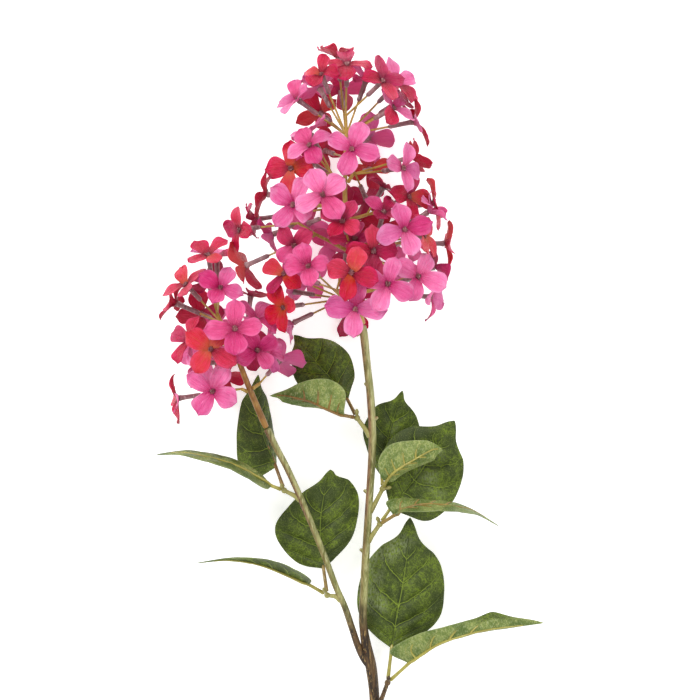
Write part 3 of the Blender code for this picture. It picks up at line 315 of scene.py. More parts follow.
# Colours as they look in daylight, 0 to 255: at the throat, of the body, toward the edge and of the back
PETAL_COLOURS = {
    "pink": ((208, 50, 114), (248, 112, 170), (255, 164, 206), (236, 120, 170)),
    "rose": ((176, 26, 84), (228, 70, 134), (246, 118, 172), (212, 80, 134)),
    "lilac": ((200, 60, 126), (234, 108, 168), (244, 152, 200), (214, 112, 164)),
    "red": ((136, 6, 34), (202, 14, 62), (238, 66, 118), (186, 36, 66)),
    "coral": ((206, 92, 52), (216, 36, 58), (236, 60, 104), (204, 72, 66)),
    "magenta": ((130, 12, 50), (190, 28, 82), (220, 66, 122), (176, 46, 86)),
}
PETAL_ORDER = tuple(PETAL_COLOURS)
PINKS = ("pink", "rose", "lilac")
# What the petals of a floret of each kind are drawn from
PETAL_MIX = {
    "pink": ("pink",) * 7 + ("rose", "lilac"),
    "rose": ("rose",) * 3 + ("pink",),
    "red": ("red",) * 5 + ("magenta", "coral"),
    "coral": ("coral",) * 3 + ("red",),
    "magenta": ("magenta",) * 3 + ("rose",),
}
# Moulded parts: material name, dark, middle and light colour, roughness, coat and scale of the grain
PLASTICS = {
    "tube": ("floret_tube_mauve", (132, 88, 94), (170, 122, 126), (222, 190, 188), 0.34, 0.3, 700.0),
    "eye": ("floret_eye_mauve", (98, 26, 44), (160, 84, 92), (236, 190, 178), 0.4, 0.1, 1500.0),
    "stalk": ("stalk_ochre", (172, 132, 48), (208, 172, 80), (228, 204, 124)),
    "side stalk": ("stalk_amber", (146, 96, 36), (184, 132, 54), (208, 176, 96)),
    "twig": ("twig_green", (140, 132, 60), (170, 164, 92), (196, 190, 128)),
    "rust": ("rib_rust", (122, 86, 30), (152, 114, 46), (192, 168, 90)),
    "amber": ("rib_amber", (138, 106, 44), (170, 142, 70), (200, 186, 112)),
    "yellow": ("rib_yellow", (158, 148, 62), (186, 176, 78), (206, 200, 116)),
}
# Each lamp's name, place and size in metres, and power in watts
LAMPS = (
    ("key", (-1.2, 1.3, 1.8), 1.0, 36.0),
    ("fill", (1.6, 0.4, 1.7), 1.6, 13.0),
    ("front", (0.1, -1.7, 1.6), 1.5, 10.0),
)
LAMPS_AIM = (0.0, 0.03, 0.04)
WORLD_STRENGTH = 0.68
FLOOR_HALF = 6.0
FLOOR_Z = -0.0006
FLOOR_GLOW = 0.5
WHITE = (1.0, 1.0, 1.0, 1.0)
# The camera looks straight down on this point of the photo, from so many metres over the flowers
PHOTO_MIDDLE_Y = 30.0
PHOTO_WIDTH = 0.42
SENSOR = 36.0
CAMERA_UP = 3.0
FLOWER_Z = 0.045


def to_frame(points):
    """The photo's millimetres as metres in the part's frame."""
    return (points - np.array((CENTRE_X, CENTRE_Y, 0.0))) * MM


def turned_to(direction):
    """The matrix that takes +Z to a direction the short way round."""
    return np.array(Vector((0.0, 0.0, 1.0)).rotation_difference(direction).to_matrix())


def floret(spot, root, lean, angle, draw, growth):
    """A floret's centre, axis and turn, its pedicel's three points up to the tube, and its lobes' forms."""
    centre = Vector(spot)
    root = Vector(root)
    away = (centre - root).normalized()
    axis = (away + Vector((0.0, 0.0, lean))).normalized()
    tube_way = (away + 0.7 * axis).normalized()
    foot = centre - tube_way * TUBE_LENGTH * growth
    bend = foot - tube_way * (foot - root).length * 0.45
    middle = root * 0.25 + bend * 0.5 + foot * 0.25
    steep = draw.uniform(4.0, 22.0) if lean > FLAT_LEAN else draw.uniform(10.0, 36.0)
    lobes = []
    for lobe in range(4):
        way = math.radians(angle + 90.0 * lobe + draw.uniform(-6.0, 6.0))
        length = PETAL_LENGTH * draw.uniform(0.92, 1.08) * growth
        climb = math.radians(steep + draw.uniform(-8.0, 8.0))
        half = 0.5 * PETAL_WIDTH * draw.uniform(0.88, 1.06) * growth * (1.0 - 0.2 * math.sin(climb))
        rise = math.sin(climb)
        curl = rise * draw.uniform(0.1, 0.9) + draw.uniform(-0.04, 0.2)
        lobes.append((way, length, climb, half, rise, curl, draw.uniform(-0.2, 0.2)))
    return {
        "centre": np.array(centre),
        "axis": np.array(axis),
        "turn": turned_to(axis),
        "pedicel": [np.array(p) for p in (root, middle, foot)],
        "lobes": lobes,
    }


def placed_florets():
    """Each sprig's name, stalk points and florets with their colours, the underside's sprigs last."""
    seeds = (n for n in itertools.count(SHAPE_SEED + 1) if n != NO_FLORET)
    for name, (stalk, rows) in SPRIGS.items():
        florets = []
        for (*spot, grows, lean, angle, colour), seed in zip(rows, seeds):
            growth = random.Random(GROWTH_SEED + seed).uniform(0.84, 1.0) if lean < FLAT_LEAN else 1.0
            florets.append((floret(spot, stalk[grows], lean, angle, random.Random(seed), growth), colour))
        yield name, stalk, florets
    for name, (stalk, spots) in UNDERSIDE.items():
        florets = []
        for spot, colour, seed in zip(spots, itertools.cycle(UNDER_KINDS), seeds):
            angle = random.Random(seed).uniform(0.0, 90.0)
            made = floret(spot, stalk[-1], UNDER_LEAN, angle, random.Random(seed), UNDER_GROWTH)
            florets.append((made, colour))
        yield name, stalk, florets


def stem_way(spot):
    """The direction of the stem or side stem at the stations nearest to a place."""
    spans = [(Vector(a[:3]), Vector(b[:3])) for path in (STEM, SIDE_STEM) for a, b in zip(path, path[1:])]
    low, high = min(spans, key=lambda span: ((span[0] + span[1]) / 2.0 - spot).length)
    return (high - low).normalized()


def srgb(colour):
    """A colour as it looks, as the light it stands for."""
    shares = [value / 255.0 for value in colour]
    light = [v / 12.92 if v <= 0.04045 else ((v + 0.055) / 1.055) ** 2.4 for v in shares]
    return (*(v * UNDER_LIGHT for v in light), 1.0)


class Body:
    """Gathers a piece's points and faces, and what its material reads at each point."""

    def __init__(self):
        self.points = []
        self.faces = []
        self.slots = []
        self.marks = {"reach": [], "across": [], "side": [], "shade": []}
        self.count = 0

    def add(self, points, faces, slot, **marks):
        self.points.append(points)
        self.faces.extend([i + self.count for i in face] for face in faces)
        self.slots.extend([slot] * len(faces))
        for mark, value in marks.items():
            self.marks[mark].append(np.broadcast_to(np.asarray(value, float).ravel(), (len(points),)))
        self.count += len(points)


def piece(name, body, materials, nodes):
    """The gathered body as one piece of the scene that rides with the part."""
    mesh = bpy.data.meshes.new(name)
    mesh.from_pydata(to_frame(np.concatenate(body.points)).tolist(), [], body.faces)
    for mark, values in body.marks.items():
        attribute = mesh.attributes.new(mark, "FLOAT", "POINT")
        attribute.data.foreach_set("value", np.concatenate(values).astype(np.float32))
    for material in materials:
        mesh.materials.append(material)
    mesh.polygons.foreach_set("material_index", np.array(body.slots, dtype=np.int32))
    mesh.polygons.foreach_set("use_smooth", np.ones(len(mesh.polygons), dtype=bool))
    mesh.set_sharp_from_angle(angle=math.radians(50.0))
    made = bpy.data.objects.new(name, mesh)
    bpy.context.scene.collection.objects.link(made)
    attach(made, "root")
    if nodes:
        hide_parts(*nodes)


def smooth_line(points, count):
    """A smooth curve through rows of numbers, at even steps."""
    rows = np.asarray(points, float)
    rows = np.vstack([2.0 * rows[0] - rows[1], rows, 2.0 * rows[-1] - rows[-2]])
    spans = len(rows) - 3
    out = []
    for step in np.linspace(0.0, spans, count):
        i = min(int(step), spans - 1)
        f = step - i
        a, b, c, d = rows[i : i + 4]
        bend = (2 * a - 5 * b + 4 * c - d) * f * f
        out.append(0.5 * (2 * b + (c - a) * f + bend + (3 * b - a - 3 * c + d) * f**3))
    return np.array(out)


def tube(path, radii, sides, flutes, depth):
    """A round rod along a path: points, faces, share of the length, and how far each faces +X."""
    ahead = np.gradient(path, axis=0)
    ahead /= np.linalg.norm(ahead, axis=1)[:, None]
    side = np.cross(ahead[0], (0.0, 0.0, 1.0) if abs(ahead[0][2]) < 0.9 else (1.0, 0.0, 0.0))
    turns = 2.0 * math.pi * np.arange(sides) / sides
    points = []
    facing_x = []
    for spot, way, radius in zip(path, ahead, radii):
        side = side - way * side.dot(way)
        side /= np.linalg.norm(side)
        up = np.cross(way, side)
        swell = radius * (1.0 + depth * np.cos(flutes * turns))
        ring = np.outer(np.cos(turns) * swell, side) + np.outer(np.sin(turns) * swell, up)
        points.append(spot + ring)
        facing_x.append(np.cos(turns) * side[0] + np.sin(turns) * up[0])
    last = (len(path) - 1) * sides
    corners = [(i + k, i + (k + 1) % sides) for i in range(0, last, sides) for k in range(sides)]
    faces = [[a, b, b + sides, a + sides] for a, b in corners]
    faces += [list(range(sides - 1, -1, -1)), list(range(last, last + sides))]
    reach = np.repeat(np.linspace(0.0, 1.0, len(path)), sides)
    return np.concatenate(points), faces, reach, np.concatenate(facing_x)


def capped(path, radii):
    """The path and its radii with a rounded end before the first point."""
    back = (path[0] - path[1]) / np.linalg.norm(path[0] - path[1])
    path = np.vstack([path[0] + back * radii[0] * 0.45, path[0] + back * radii[0] * 0.3, path])
    return path, np.concatenate([[radii[0] * 0.3, radii[0] * 0.8], radii])


def add_rod(body, stations, sides, steps, slot=0, shade=0.5, flutes=0, depth=0.0, round_ends=(True, True)):
    """A smooth tapered rod with rounded ends through (x, y, z, radius) stations."""
    line = smooth_line(stations, steps)
    path = line[:, :3]
    radii = np.maximum(line[:, 3], 0.05)
    if round_ends[0]:
        path, radii = capped(path, radii)
    if round_ends[1]:
        path, radii = (row[::-1] for row in capped(path[::-1], radii[::-1]))
    points, faces, reach, facing_x = tube(path, radii, sides, flutes, depth)
    body.add(points, faces, slot, reach=reach, across=facing_x, side=1.0, shade=shade)


def held(values):
    """Values held between 0 and 1."""
    return np.clip(values, 0.0, 1.0)


def normals(grid):
    """The unit normal at each point of a grid."""
    normal = np.cross(np.gradient(grid, axis=1), np.gradient(grid, axis=0))
    return normal / np.maximum(np.linalg.norm(normal, axis=2), 1e-9)[:, :, None]


def add_shell(body, grid, half, slot, reach, across, shade, top=1.0):
    """A grid of points as a thin closed sheet. top is 1 where its first face is the dark or bright one."""
    rows, columns, _ = grid.shape
    normal = normals(grid)
    count = rows * columns
    index = np.arange(count).reshape(rows, columns)
    faces = [[a, a + 1, a + columns + 1, a + columns] for a in index[:-1, :-1].ravel().tolist()]
    sides = (index[:, 0], index[-1, 1:], index[-2::-1, -1], index[0, -2:0:-1])
    rim = np.concatenate(sides).tolist()
    closing = [[b, a, a + count, b + count] for a, b in zip(rim, rim[1:] + rim[:1])]
    back = [[i + count for i in reversed(face)] for face in faces]
    first = np.broadcast_to(np.asarray(top, float), (rows, columns)).ravel()
    body.add(
        np.vstack([(grid + normal * half).reshape(-1, 3), (grid - normal * half).reshape(-1, 3)]),
        faces + back + closing,
        slot,
        reach=np.tile(reach.ravel(), 2),
        across=np.tile(across.ravel(), 2),
        side=np.concatenate([first, 1.0 - first]),
        shade=shade,
    )


def petal_width(s):
    """Half the width of a petal along its length, as a share of its greatest."""
    low = 0.32 + 0.68 * np.sin(held(s / PETAL_BROAD) * math.pi / 2.0) ** 1.3
    past = held((s - PETAL_BROAD) / (1.0 - PETAL_BROAD))
    return np.where(s < PETAL_BROAD, low, np.sqrt(1.0 - past**2.4))


def add_petal(body, made, lobe, slot, fine):
    """One rounded petal of a floret: creased along its middle, cupped, and a little wavy at its edge."""
    way, length, climb, half, rise, curl, skew = lobe
    t, s = np.meshgrid(PETAL_COLUMNS, PETAL_ROWS)
    half = half * fine.uniform(1.04, 1.16)
    cup = fine.uniform(-0.12, 0.34)
    crease = fine.uniform(0.5, 1.3)
    wave = fine.uniform(0.6, 1.7)
    phase = fine.uniform(0.0, 6.28)
    point = fine.uniform(-0.02, 0.14)
    lopsided = fine.uniform(-0.12, 0.12)
    flick = fine.uniform(-0.9, 1.3)
    width = half * petal_width(s) * (1.0 + 0.05 * np.sin(phase + 9.0 * s + 2.0 * t))
    out = length * math.cos(climb) * (s + point * s**6 * (1.0 - np.abs(t)) * 0.6) * (1.0 - 0.05 * t * t * s)
    over = width * t * (1.0 + lopsided * t)
    z = length * (rise * s - curl * s**2.4) + over * skew
    z = z + flick * held((s - 0.55) / 0.45) ** 2
    z = z + cup * width * t * t + crease * np.sin(s * math.pi) * (np.abs(t) - 0.5)
    z = z + wave * np.sin(phase + 7.0 * s + 1.5 * t) * s * t * t
    z = z - 1.5 * held(1.0 - s / 0.2) ** 2
    along = np.array((math.cos(way), math.sin(way), 0.0))
    side = np.array((-math.sin(way), math.cos(way), 0.0))
    flat = out[..., None] * along + over[..., None] * side
    flat[..., 2] = z
    grid = flat @ made["turn"].T + made["centre"]
    grid[..., 2] = np.maximum(grid[..., 2], PETAL_FLOOR)
    add_shell(body, grid[:, ::-1], PETAL_HALF, slot, s, t[:, ::-1], fine.random())


def add_eye(body, made, fine):
    """The ribbed star at a floret's middle."""
    arms = 8

    def at(x, y, z):
        return made["centre"] + made["turn"] @ np.array((x, y, z))

    for k in range(arms):
        way = 2.0 * math.pi * k / arms + fine.uniform(-0.15, 0.15)
        long = fine.uniform(1.3, 2.1)
        line = ((0.3, -0.2, 0.42), (0.5 * long, 0.75, 0.46), (0.8 * long, 0.95, 0.38), (long, 0.7, 0.2))
        stations = [(*at(math.cos(way) * r, math.sin(way) * r, z), radius) for r, z, radius in line]
        add_rod(body, stations, 5, 6, 1, fine.random())
    dome = ((-1.2, 1.5), (0.1, 1.3), (0.75, 0.45))
    add_rod(body, [(*at(0.0, 0.0, z), radius) for z, radius in dome], 8, 5, 1, 0.0)


def add_tube(body, made, fine):
    """A floret's moulded tube, fluted along its length."""
    foot = made["pedicel"][-1]
    mouth = made["centre"] - made["axis"] * 0.9
    long = np.linalg.norm(mouth - foot)
    way = (mouth - foot) / long
    line = ((0.0, 0.75), (0.05, 1.25), (0.12, 1.42), (0.5, 1.4), (0.82, 1.5), (0.95, 1.8), (1.0, 1.9))
    stations = [(*(foot + way * long * share), radius) for share, radius in line]
    add_rod(body, stations, 16, 14, 0, fine.random(), 5, 0.07, (True, False))


def add_pedicel(body, made, fine):
    """The thin bent stalk from a sprig's own stalk to a floret's tube."""
    root, middle, foot = made["pedicel"]
    bend = 2.0 * middle - 0.5 * (root + foot)
    steps = np.linspace(0.0, 1.0, 9)[:, None]
    line = (1 - steps) ** 2 * root + 2 * steps * (1 - steps) * bend + steps**2 * foot
    stations = np.hstack([line, np.linspace(0.68, 0.6, 9)[:, None]])
    add_rod(body, stations, 7, 10, 0, fine.random())


def build_sprigs(looks):
    """Petals, tubes with eyes, and stalks of each sprig, each a piece of its own."""
    seed = FINE_SEED
    for name, points, florets in placed_florets():
        petals, tubes, stalks = Body(), Body(), Body()
        first = Vector(points[0])
        back = first + (first - Vector(points[1])).normalized() * 0.9
        stations = [(*back, SPRIG_STALK * 1.15)]
        stations += [(*p, SPRIG_STALK * (1.0 - 0.12 * i)) for i, p in enumerate(points)]
        add_rod(stalks, stations, 10, 6 * len(stations))
        for made, colour in florets:
            seed += 1
            fine = random.Random(seed)
            kinds = colour.split()
            for i, lobe in enumerate(made["lobes"]):
                kind = kinds[i] if len(kinds) > 1 else fine.choice(PETAL_MIX[colour])
                add_petal(petals, made, lobe, PETAL_ORDER.index(kind), fine)
            add_eye(tubes, made, fine)
            add_tube(tubes, made, fine)
            add_pedicel(stalks, made, fine)
        pinks = sum(1 for _, colour in florets if colour.split()[0] in PINKS)
        piece(name + "_petals", petals, [looks[k] for k in PETAL_ORDER], [name])
        piece(name + "_tubes", tubes, [looks["tube"], looks["eye"]], [])
        piece(name + "_pedicels", stalks, [looks["stalk"]], [])


def leaf_grid(spine, rows, tip, dark_up):
    """A leaf's surface, its veins sunk in its dark face: rows from base to tip, columns left to right."""
    lines = [[spine[-1], *(row[i : i + 3] for row in rows), tip] for i in (0, 3, 6)]
    left, rib, right = (smooth_line(line, LEAF_ROWS) for line in lines)
    s = np.linspace(0.0, 1.0, LEAF_ROWS)
    t = np.linspace(-1.0, 1.0, LEAF_COLUMNS)
    tip_way = held((s - 0.78) / 0.22)
    drawn = (1.0 - 0.34 * np.sin(tip_way * math.pi) ** 1.3)[:, None]
    columns = [rib + ((left if across < 0 else right) - rib) * (abs(across) * drawn) for across in t]
    grid = np.stack(columns, axis=1)
    normal = normals(grid)
    across, reach = np.meshgrid(t, s)
    off = np.abs(across)
    broad = np.linalg.norm(left - right, axis=1)[:, None]
    swell = 0.035 * broad * np.sin(off * math.pi)
    phase = (reach - VEIN_SLANT * off - VEIN_BEND * across * across) * VEINS
    beat = np.abs((phase + 20.0) % 1.0 - 0.5)
    from_base = held(reach / 0.1)
    fade = held(1.25 - off) * held(off / 0.2)
    fade = fade * held((0.86 - reach) / 0.2) * from_base
    groove = 0.036 * broad * np.exp(-((beat / 0.17) ** 2)) * fade
    middle = 0.034 * broad * np.exp(-((across / 0.1) ** 2)) * from_base * (1.0 - reach) ** 0.5
    sunk = -1.0 if dark_up == (np.mean(normal[..., 2]) > 0.0) else 1.0
    sunk = sunk * (groove + middle)
    return grid + normal * (swell + sunk)[:, :, None], reach, across


def dark_share(face, grid, reach, across):
    """1 where a leaf shows its dark face upward, 0 where it shows its pale one."""
    if isinstance(face, str):
        return 1.0 if face == "dark" else 0.0
    start, begin, end = face
    upper = np.sign(np.mean(grid[:, -1, 1]) - np.mean(grid[:, 0, 1]))
    over = held((across * upper - start) / 0.12)
    along = held((reach - begin) / 0.1) * held((end - reach) / 0.1)
    return over * along


def stalk_line(spine):
    """A leaf's bare stalk, from just off its knob to halfway to the blade, with its radii."""
    knob = Vector(spine[0])
    base = Vector(spine[1])
    start = knob + (base - knob).normalized() * (KNOB + GAP + 0.55)
    middle = start.lerp(base, 0.5) + Vector((0.0, 0.0, 0.6))
    return [(*start, 1.25), (*middle, 1.05)]


def add_side_ribs(body, grid, normal, under):
    """Four pairs of raised ribs that branch off a pale face's middle rib."""
    rows, middle = grid.shape[0] - 1, grid.shape[1] // 2
    for k, start in enumerate((0.12, 0.27, 0.42, 0.57)):
        for sign in (-1.0, 1.0):
            stations = []
            for step in np.linspace(0.0, 1.0, 8):
                share = (0.62 - 0.08 * k) * step
                row = (start + 0.04 * (sign > 0) + 0.2 * share + 0.05 * share * share) * rows
                column = middle + sign * share * middle
                spot = between(grid, row, column) + between(normal, row, column) * under * 0.3
                stations.append((*spot, 0.72 - 0.45 * step))
            add_rod(body, stations, 7, 16)


def between(table, row, column):
    """A grid's value between its rows and columns."""
    i, j = min(int(row), table.shape[0] - 2), min(int(column), table.shape[1] - 2)
    f, g = row - i, column - j
    near = table[i, j] * (1.0 - g) + table[i, j + 1] * g
    far = table[i + 1, j] * (1.0 - g) + table[i + 1, j + 1] * g
    return near * (1.0 - f) + far * f


def build_leaves(looks):
    """Each leaf's blade, and its stalk with the ribs, as two pieces."""
    for name, (face, look, spine, rows, tip) in LEAVES.items():
        pale = face != "dark"
        grid, reach, across = leaf_grid(spine, rows, tip, not pale)
        normal = normals(grid)
        up = 1.0 if np.mean(normal[..., 2]) > 0.0 else -1.0
        dark = dark_share(face, grid, reach, across)
        blade = Body()
        add_shell(blade, grid, LEAF_HALF, 0, reach, across, 0.5, dark if up > 0.0 else 1.0 - dark)
        piece(name + "_blade", blade, [looks["leaf"]], [name])
        ribs = Body()
        under = up if pale else -up
        middle = LEAF_COLUMNS // 2
        count = LEAF_ROWS - 1
        stations = stalk_line(spine)
        for i in range(1, count - 3, 5):
            radius = 1.1 - 0.8 * (i / count) ** 0.7
            lift = 0.75 * radius if pale else radius + 0.3
            spot = grid[i, middle] + normal[i, middle] * under * (lift if i > 2 else 0.1)
            stations.append((*spot, radius))
        add_rod(ribs, stations, 10, 76)
        if pale and name not in SMOOTH_PALE:
            add_side_ribs(ribs, grid, normal, under)
        piece(name + "_ribs", ribs, [looks[look]], [])


def build_stems(looks):
    """The forked stem with its scars, and the middle stalk of each head."""
    stem = Body()
    add_rod(stem, STEM, 24, 220, flutes=5, depth=0.035, round_ends=(False, True))
    add_rod(stem, SIDE_STEM, 20, 160, flutes=5, depth=0.035)
    for low, high in NUBS:
        add_rod(stem, [(*low, 1.7), (*Vector(low).lerp(Vector(high), 0.6), 1.35), (*high, 0.8)], 10, 8)
    piece("stem_bark_forks", stem, [looks["stem"]], ["forked_stem"])
    stalks = (("main_head_stalk", RACHIS, "stalk"), ("side_head_stalk", SIDE_RACHIS, "side stalk"))
    for name, path, look in stalks:
        stalk = Body()
        add_rod(stalk, path, 16, 60, flutes=5, depth=0.04)
        piece(name + "_fine", stalk, [looks[look]], [name])


def build_twigs(looks):
    """Each leaf twig, with its knob and its bud."""
    for name, (joint, radius, knob, bud) in TWIGS.items():
        twig = Body()
        spot = Vector(joint)
        ball = Vector(knob)
        tip = Vector(bud)
        along = stem_way(spot)
        toward = ball - spot
        out = (toward - along * toward.dot(along)).normalized()
        rise = 1.0 if toward.dot(along) > 0.0 else -1.0
        start = spot + out * (radius - 1.1) - along * rise * 1.5
        leave = spot + out * (radius + 0.5) + along * rise * 1.8
        add_rod(twig, [(*start, 1.7), (*leave, 1.5), (*ball.lerp(leave, 0.4), 1.3), (*knob, 1.25)], 12, 30)
        lift = (tip - ball).normalized()
        line = ((-1.7, 1.0), (-0.8, 1.75), (0.0, KNOB), (0.9, 1.7), (1.8, 1.0))
        add_rod(twig, [(*(ball + lift * far), wide) for far, wide in line], 12, 16)
        line = ((0.0, 0.9), (0.45, 1.0), (0.75, 1.3), (1.0, 0.75))
        add_rod(twig, [(*ball.lerp(tip, share), wide) for share, wide in line], 10, 16)
        look = looks["stem" if name == "low_right_leaf_twig" else "twig"]
        piece(name + "_fine", twig, [look], [name])


class Look:
    """A new material. Its calls add nodes, whose inputs may be numbers or what other nodes give."""

    def __init__(self, name, roughness, coat=0.0, specular=0.5):
        self.made = bpy.data.materials.new(name)
        self.made.use_nodes = True
        self.tree = self.made.node_tree
        self.shader = self.tree.nodes["Principled BSDF"]
        self.set("Roughness", roughness)
        self.set("Coat Weight", coat)
        self.set("Specular IOR Level", specular)
        self.spots = self.add("TexCoord", "Object", {})

    def feed(self, socket, value):
        if isinstance(value, bpy.types.NodeSocket):
            self.tree.links.new(value, socket)
        else:
            socket.default_value = value

    def set(self, name, value):
        self.feed(self.shader.inputs[name], value)

    def add(self, kind, output, inputs, **settings):
        """Any node: the output asked for, with the inputs given by name or number."""
        node = self.tree.nodes.new("ShaderNode" + kind)
        for key, value in settings.items():
            setattr(node, key, value)
        for key, value in inputs.items():
            self.feed(node.inputs[key], value)
        return node.outputs[output]

    def mark(self, name):
        """What the piece says at each point under this name."""
        return self.add("Attribute", "Fac", {}, attribute_name=name)

    def math(self, kind, a, b=0.0):
        return self.add("Math", 0, {0: a, 1: b}, operation=kind)

    def plus(self, a, b):
        return self.math("ADD", a, b)

    def minus(self, a, b):
        return self.math("SUBTRACT", a, b)

    def times(self, a, b):
        return self.math("MULTIPLY", a, b)

    def ease(self, value, low, high, to_low=0.0, to_high=1.0):
        """Takes a value from one range to another, held at both ends."""
        given = {"Value": value, "From Min": low, "From Max": high, "To Min": to_low, "To Max": to_high}
        return self.add("MapRange", "Result", given, interpolation_type="SMOOTHSTEP")

    def mix(self, share, first, second, kind="MIX"):
        """Two colours mixed by a share. Three numbers stand for a colour as it looks, 0 to 255."""
        first, second = (srgb(c) if isinstance(c, tuple) and len(c) == 3 else c for c in (first, second))
        return self.add("Mix", 2, {0: share, 6: first, 7: second}, data_type="RGBA", blend_type=kind)

    def tint(self, first, second, value, low, high, to_low=0.0, to_high=1.0):
        """The second colour over the first, by a share that follows a value from low to high."""
        return self.mix(self.ease(value, low, high, to_low, to_high), first, second)

    def noise(self, scale, detail=2.0, roughness=0.5, along=None, vector=None):
        """Soft noise, by a vector or the place on the piece, and drawn out along Y where along is small."""
        vector = vector or self.spots
        if along:
            vector = self.add("Mapping", 0, {"Vector": vector, "Scale": (1.0, along, 1.0)})
        given = {"Scale": scale, "Detail": detail, "Roughness": roughness, "Vector": vector}
        return self.add("TexNoise", "Fac", given)

    def finish(self, colour, height, distance, strength):
        """Gives the shader its colour and its bumps."""
        self.set("Base Color", colour)
        given = {"Distance": distance, "Strength": strength, "Height": height}
        self.set("Normal", self.add("Bump", "Normal", given))
        return self.made


def petal_material(name):
    """Dyed fabric: deep at the throat, paler to the tip, streaked along its length, duller on its back,
    with painted shade along its middle crease and a painted highlight along its side edges.
    """
    deep, body, edge, back = PETAL_COLOURS[name]
    g = Look("petal_" + name, 0.42, specular=0.4)
    g.set("Subsurface Weight", 0.3)
    g.set("Subsurface Radius", (1.0, 0.4, 0.6))
    g.set("Subsurface Scale", 0.002)
    reach, across, shade, side = (g.mark(word) for word in ("reach", "across", "shade", "side"))

    def drawn_out(over, apart, along, scale):
        """Noise drawn out along the petal, and unlike from one petal to the next."""
        start = g.plus(g.times(across, over), g.times(shade, apart))
        spot = g.add("CombineXYZ", 0, {0: start, 1: g.times(reach, along)})
        return g.noise(scale, 3.0, 0.6, vector=spot)

    streak = drawn_out(5.0, 60.0, 1.3, 1.6)
    thread = drawn_out(17.0, 90.0, 3.0, 1.0)
    cloud = g.noise(160.0)
    cloth = g.noise(1700.0, 2.0, 0.7)
    off = g.math("ABSOLUTE", across)
    colour = g.tint(deep, body, reach, 0.05, 0.5)
    colour = g.tint(colour, edge, g.times(cloud, reach), 0.3, 0.75)
    colour = g.tint(colour, deep, streak, 0.52, 0.8, 0.0, 0.4)
    colour = g.tint(colour, edge, streak, 0.2, 0.45, 0.5, 0.0)
    colour = g.tint(colour, edge, thread, 0.52, 0.72, 0.0, 0.55)
    colour = g.tint(colour, deep, thread, 0.3, 0.46, 0.35, 0.0)
    colour = g.tint(colour, edge, cloth, 0.55, 0.75, 0.0, 0.4)
    # Painted shade: the throat colour laid along each petal's middle crease, fading out toward its tip
    crease = g.times(g.ease(off, 0.0, 0.1, 0.32, 0.0), g.ease(reach, 0.55, 0.95, 1.0, 0.0))
    colour = g.mix(crease, colour, deep)
    # Painted highlight: the pale edge colour laid along each petal's side edges, from a fifth of its length
    # outward
    rim = g.times(g.ease(off, 0.55, 1.0), g.ease(reach, 0.2, 0.5))
    colour = g.mix(g.times(rim, 0.45), colour, edge)
    rear = g.tint(back, g.mix(0.5, body, back), reach, 0.1, 0.75)
    value = g.ease(shade, 0.0, 1.0, 0.96, 1.2)
    strong = g.ease(shade, 0.0, 1.0, 1.06, 0.98)
    given = {"Color": g.mix(side, rear, colour), "Value": value, "Saturation": strong}
    height = g.plus(g.plus(streak, g.times(cloud, 1.4)), g.times(thread, 0.35))
    return g.finish(g.add("HueSaturation", 0, given), height, 0.0014, 0.9)


def plastic(name, dark, mid, light, roughness=0.42, coat=0.15, grain=900.0):
    """Moulded plastic, mottled and grained, and washed darker where a part's shade mark is low."""
    g = Look(name, roughness, coat)
    patch = g.noise(130.0, 3.0, 0.6)
    fine = g.noise(grain, 3.0, 0.65, 0.25)
    colour = g.tint(dark, mid, patch, 0.35, 0.65)
    colour = g.tint(colour, light, fine, 0.5, 0.75, 0.0, 0.8)
    colour = g.tint(colour, dark, g.mark("shade"), 0.0, 1.0, 0.25, 0.0)
    return g.finish(colour, fine, 0.0001, 0.5)


def stem_material():
    """Green stem, brown along its left side and streaked, with painted highlight streaks on its top and
    right side, turning to dark flecked bark at the cut end.
    """
    g = Look("stem_bark", 0.5, 0.1, 0.4)
    across = g.mark("across")
    upward = g.add("SeparateXYZ", "Y", {0: g.spots})
    ragged = g.noise(90.0, 3.0)
    blotch = g.noise(28.0, 1.0)
    streaks = g.noise(1300.0, 4.0, 0.65, 0.05)
    wide = g.noise(320.0, 3.0, 0.6, 0.1)
    rust = g.noise(520.0, 3.0, 0.7, 0.3)
    green = g.tint((122, 124, 56), (186, 184, 118), wide, 0.35, 0.65)
    # Painted highlight: pale streaks along the stem's top and right side
    painted_highlight = g.times(g.ease(streaks, 0.5, 0.62), g.ease(across, -0.35, 0.1, 0.0, 0.65))
    green = g.mix(painted_highlight, green, (222, 218, 168))
    green = g.tint(green, (84, 92, 36), streaks, 0.3, 0.46, 0.8, 0.0)
    brown = g.tint((102, 66, 44), (160, 122, 84), streaks, 0.4, 0.62)
    band = g.times(g.ease(upward, -0.1, -0.05, 0.45, 1.0), g.ease(blotch, 0.35, 0.55, 0.5, 1.0))
    green = g.mix(g.times(g.ease(across, -0.7, 0.5, 1.0, 0.0), band), green, brown)
    bark = g.tint((46, 32, 16), (98, 72, 40), wide, 0.4, 0.6)
    bark = g.tint(bark, (180, 148, 88), streaks, 0.55, 0.66, 0.0, 0.8)
    bark = g.tint(bark, (142, 82, 34), rust, 0.6, 0.72, 0.0, 0.55)
    barky = g.ease(g.plus(upward, g.times(ragged, 0.02)), -0.122, -0.098, 1.0, 0.0)
    g.set("Roughness", g.plus(g.times(barky, 0.2), 0.42))
    return g.finish(g.mix(barky, green, bark), g.plus(streaks, wide), 0.0006, 0.8)


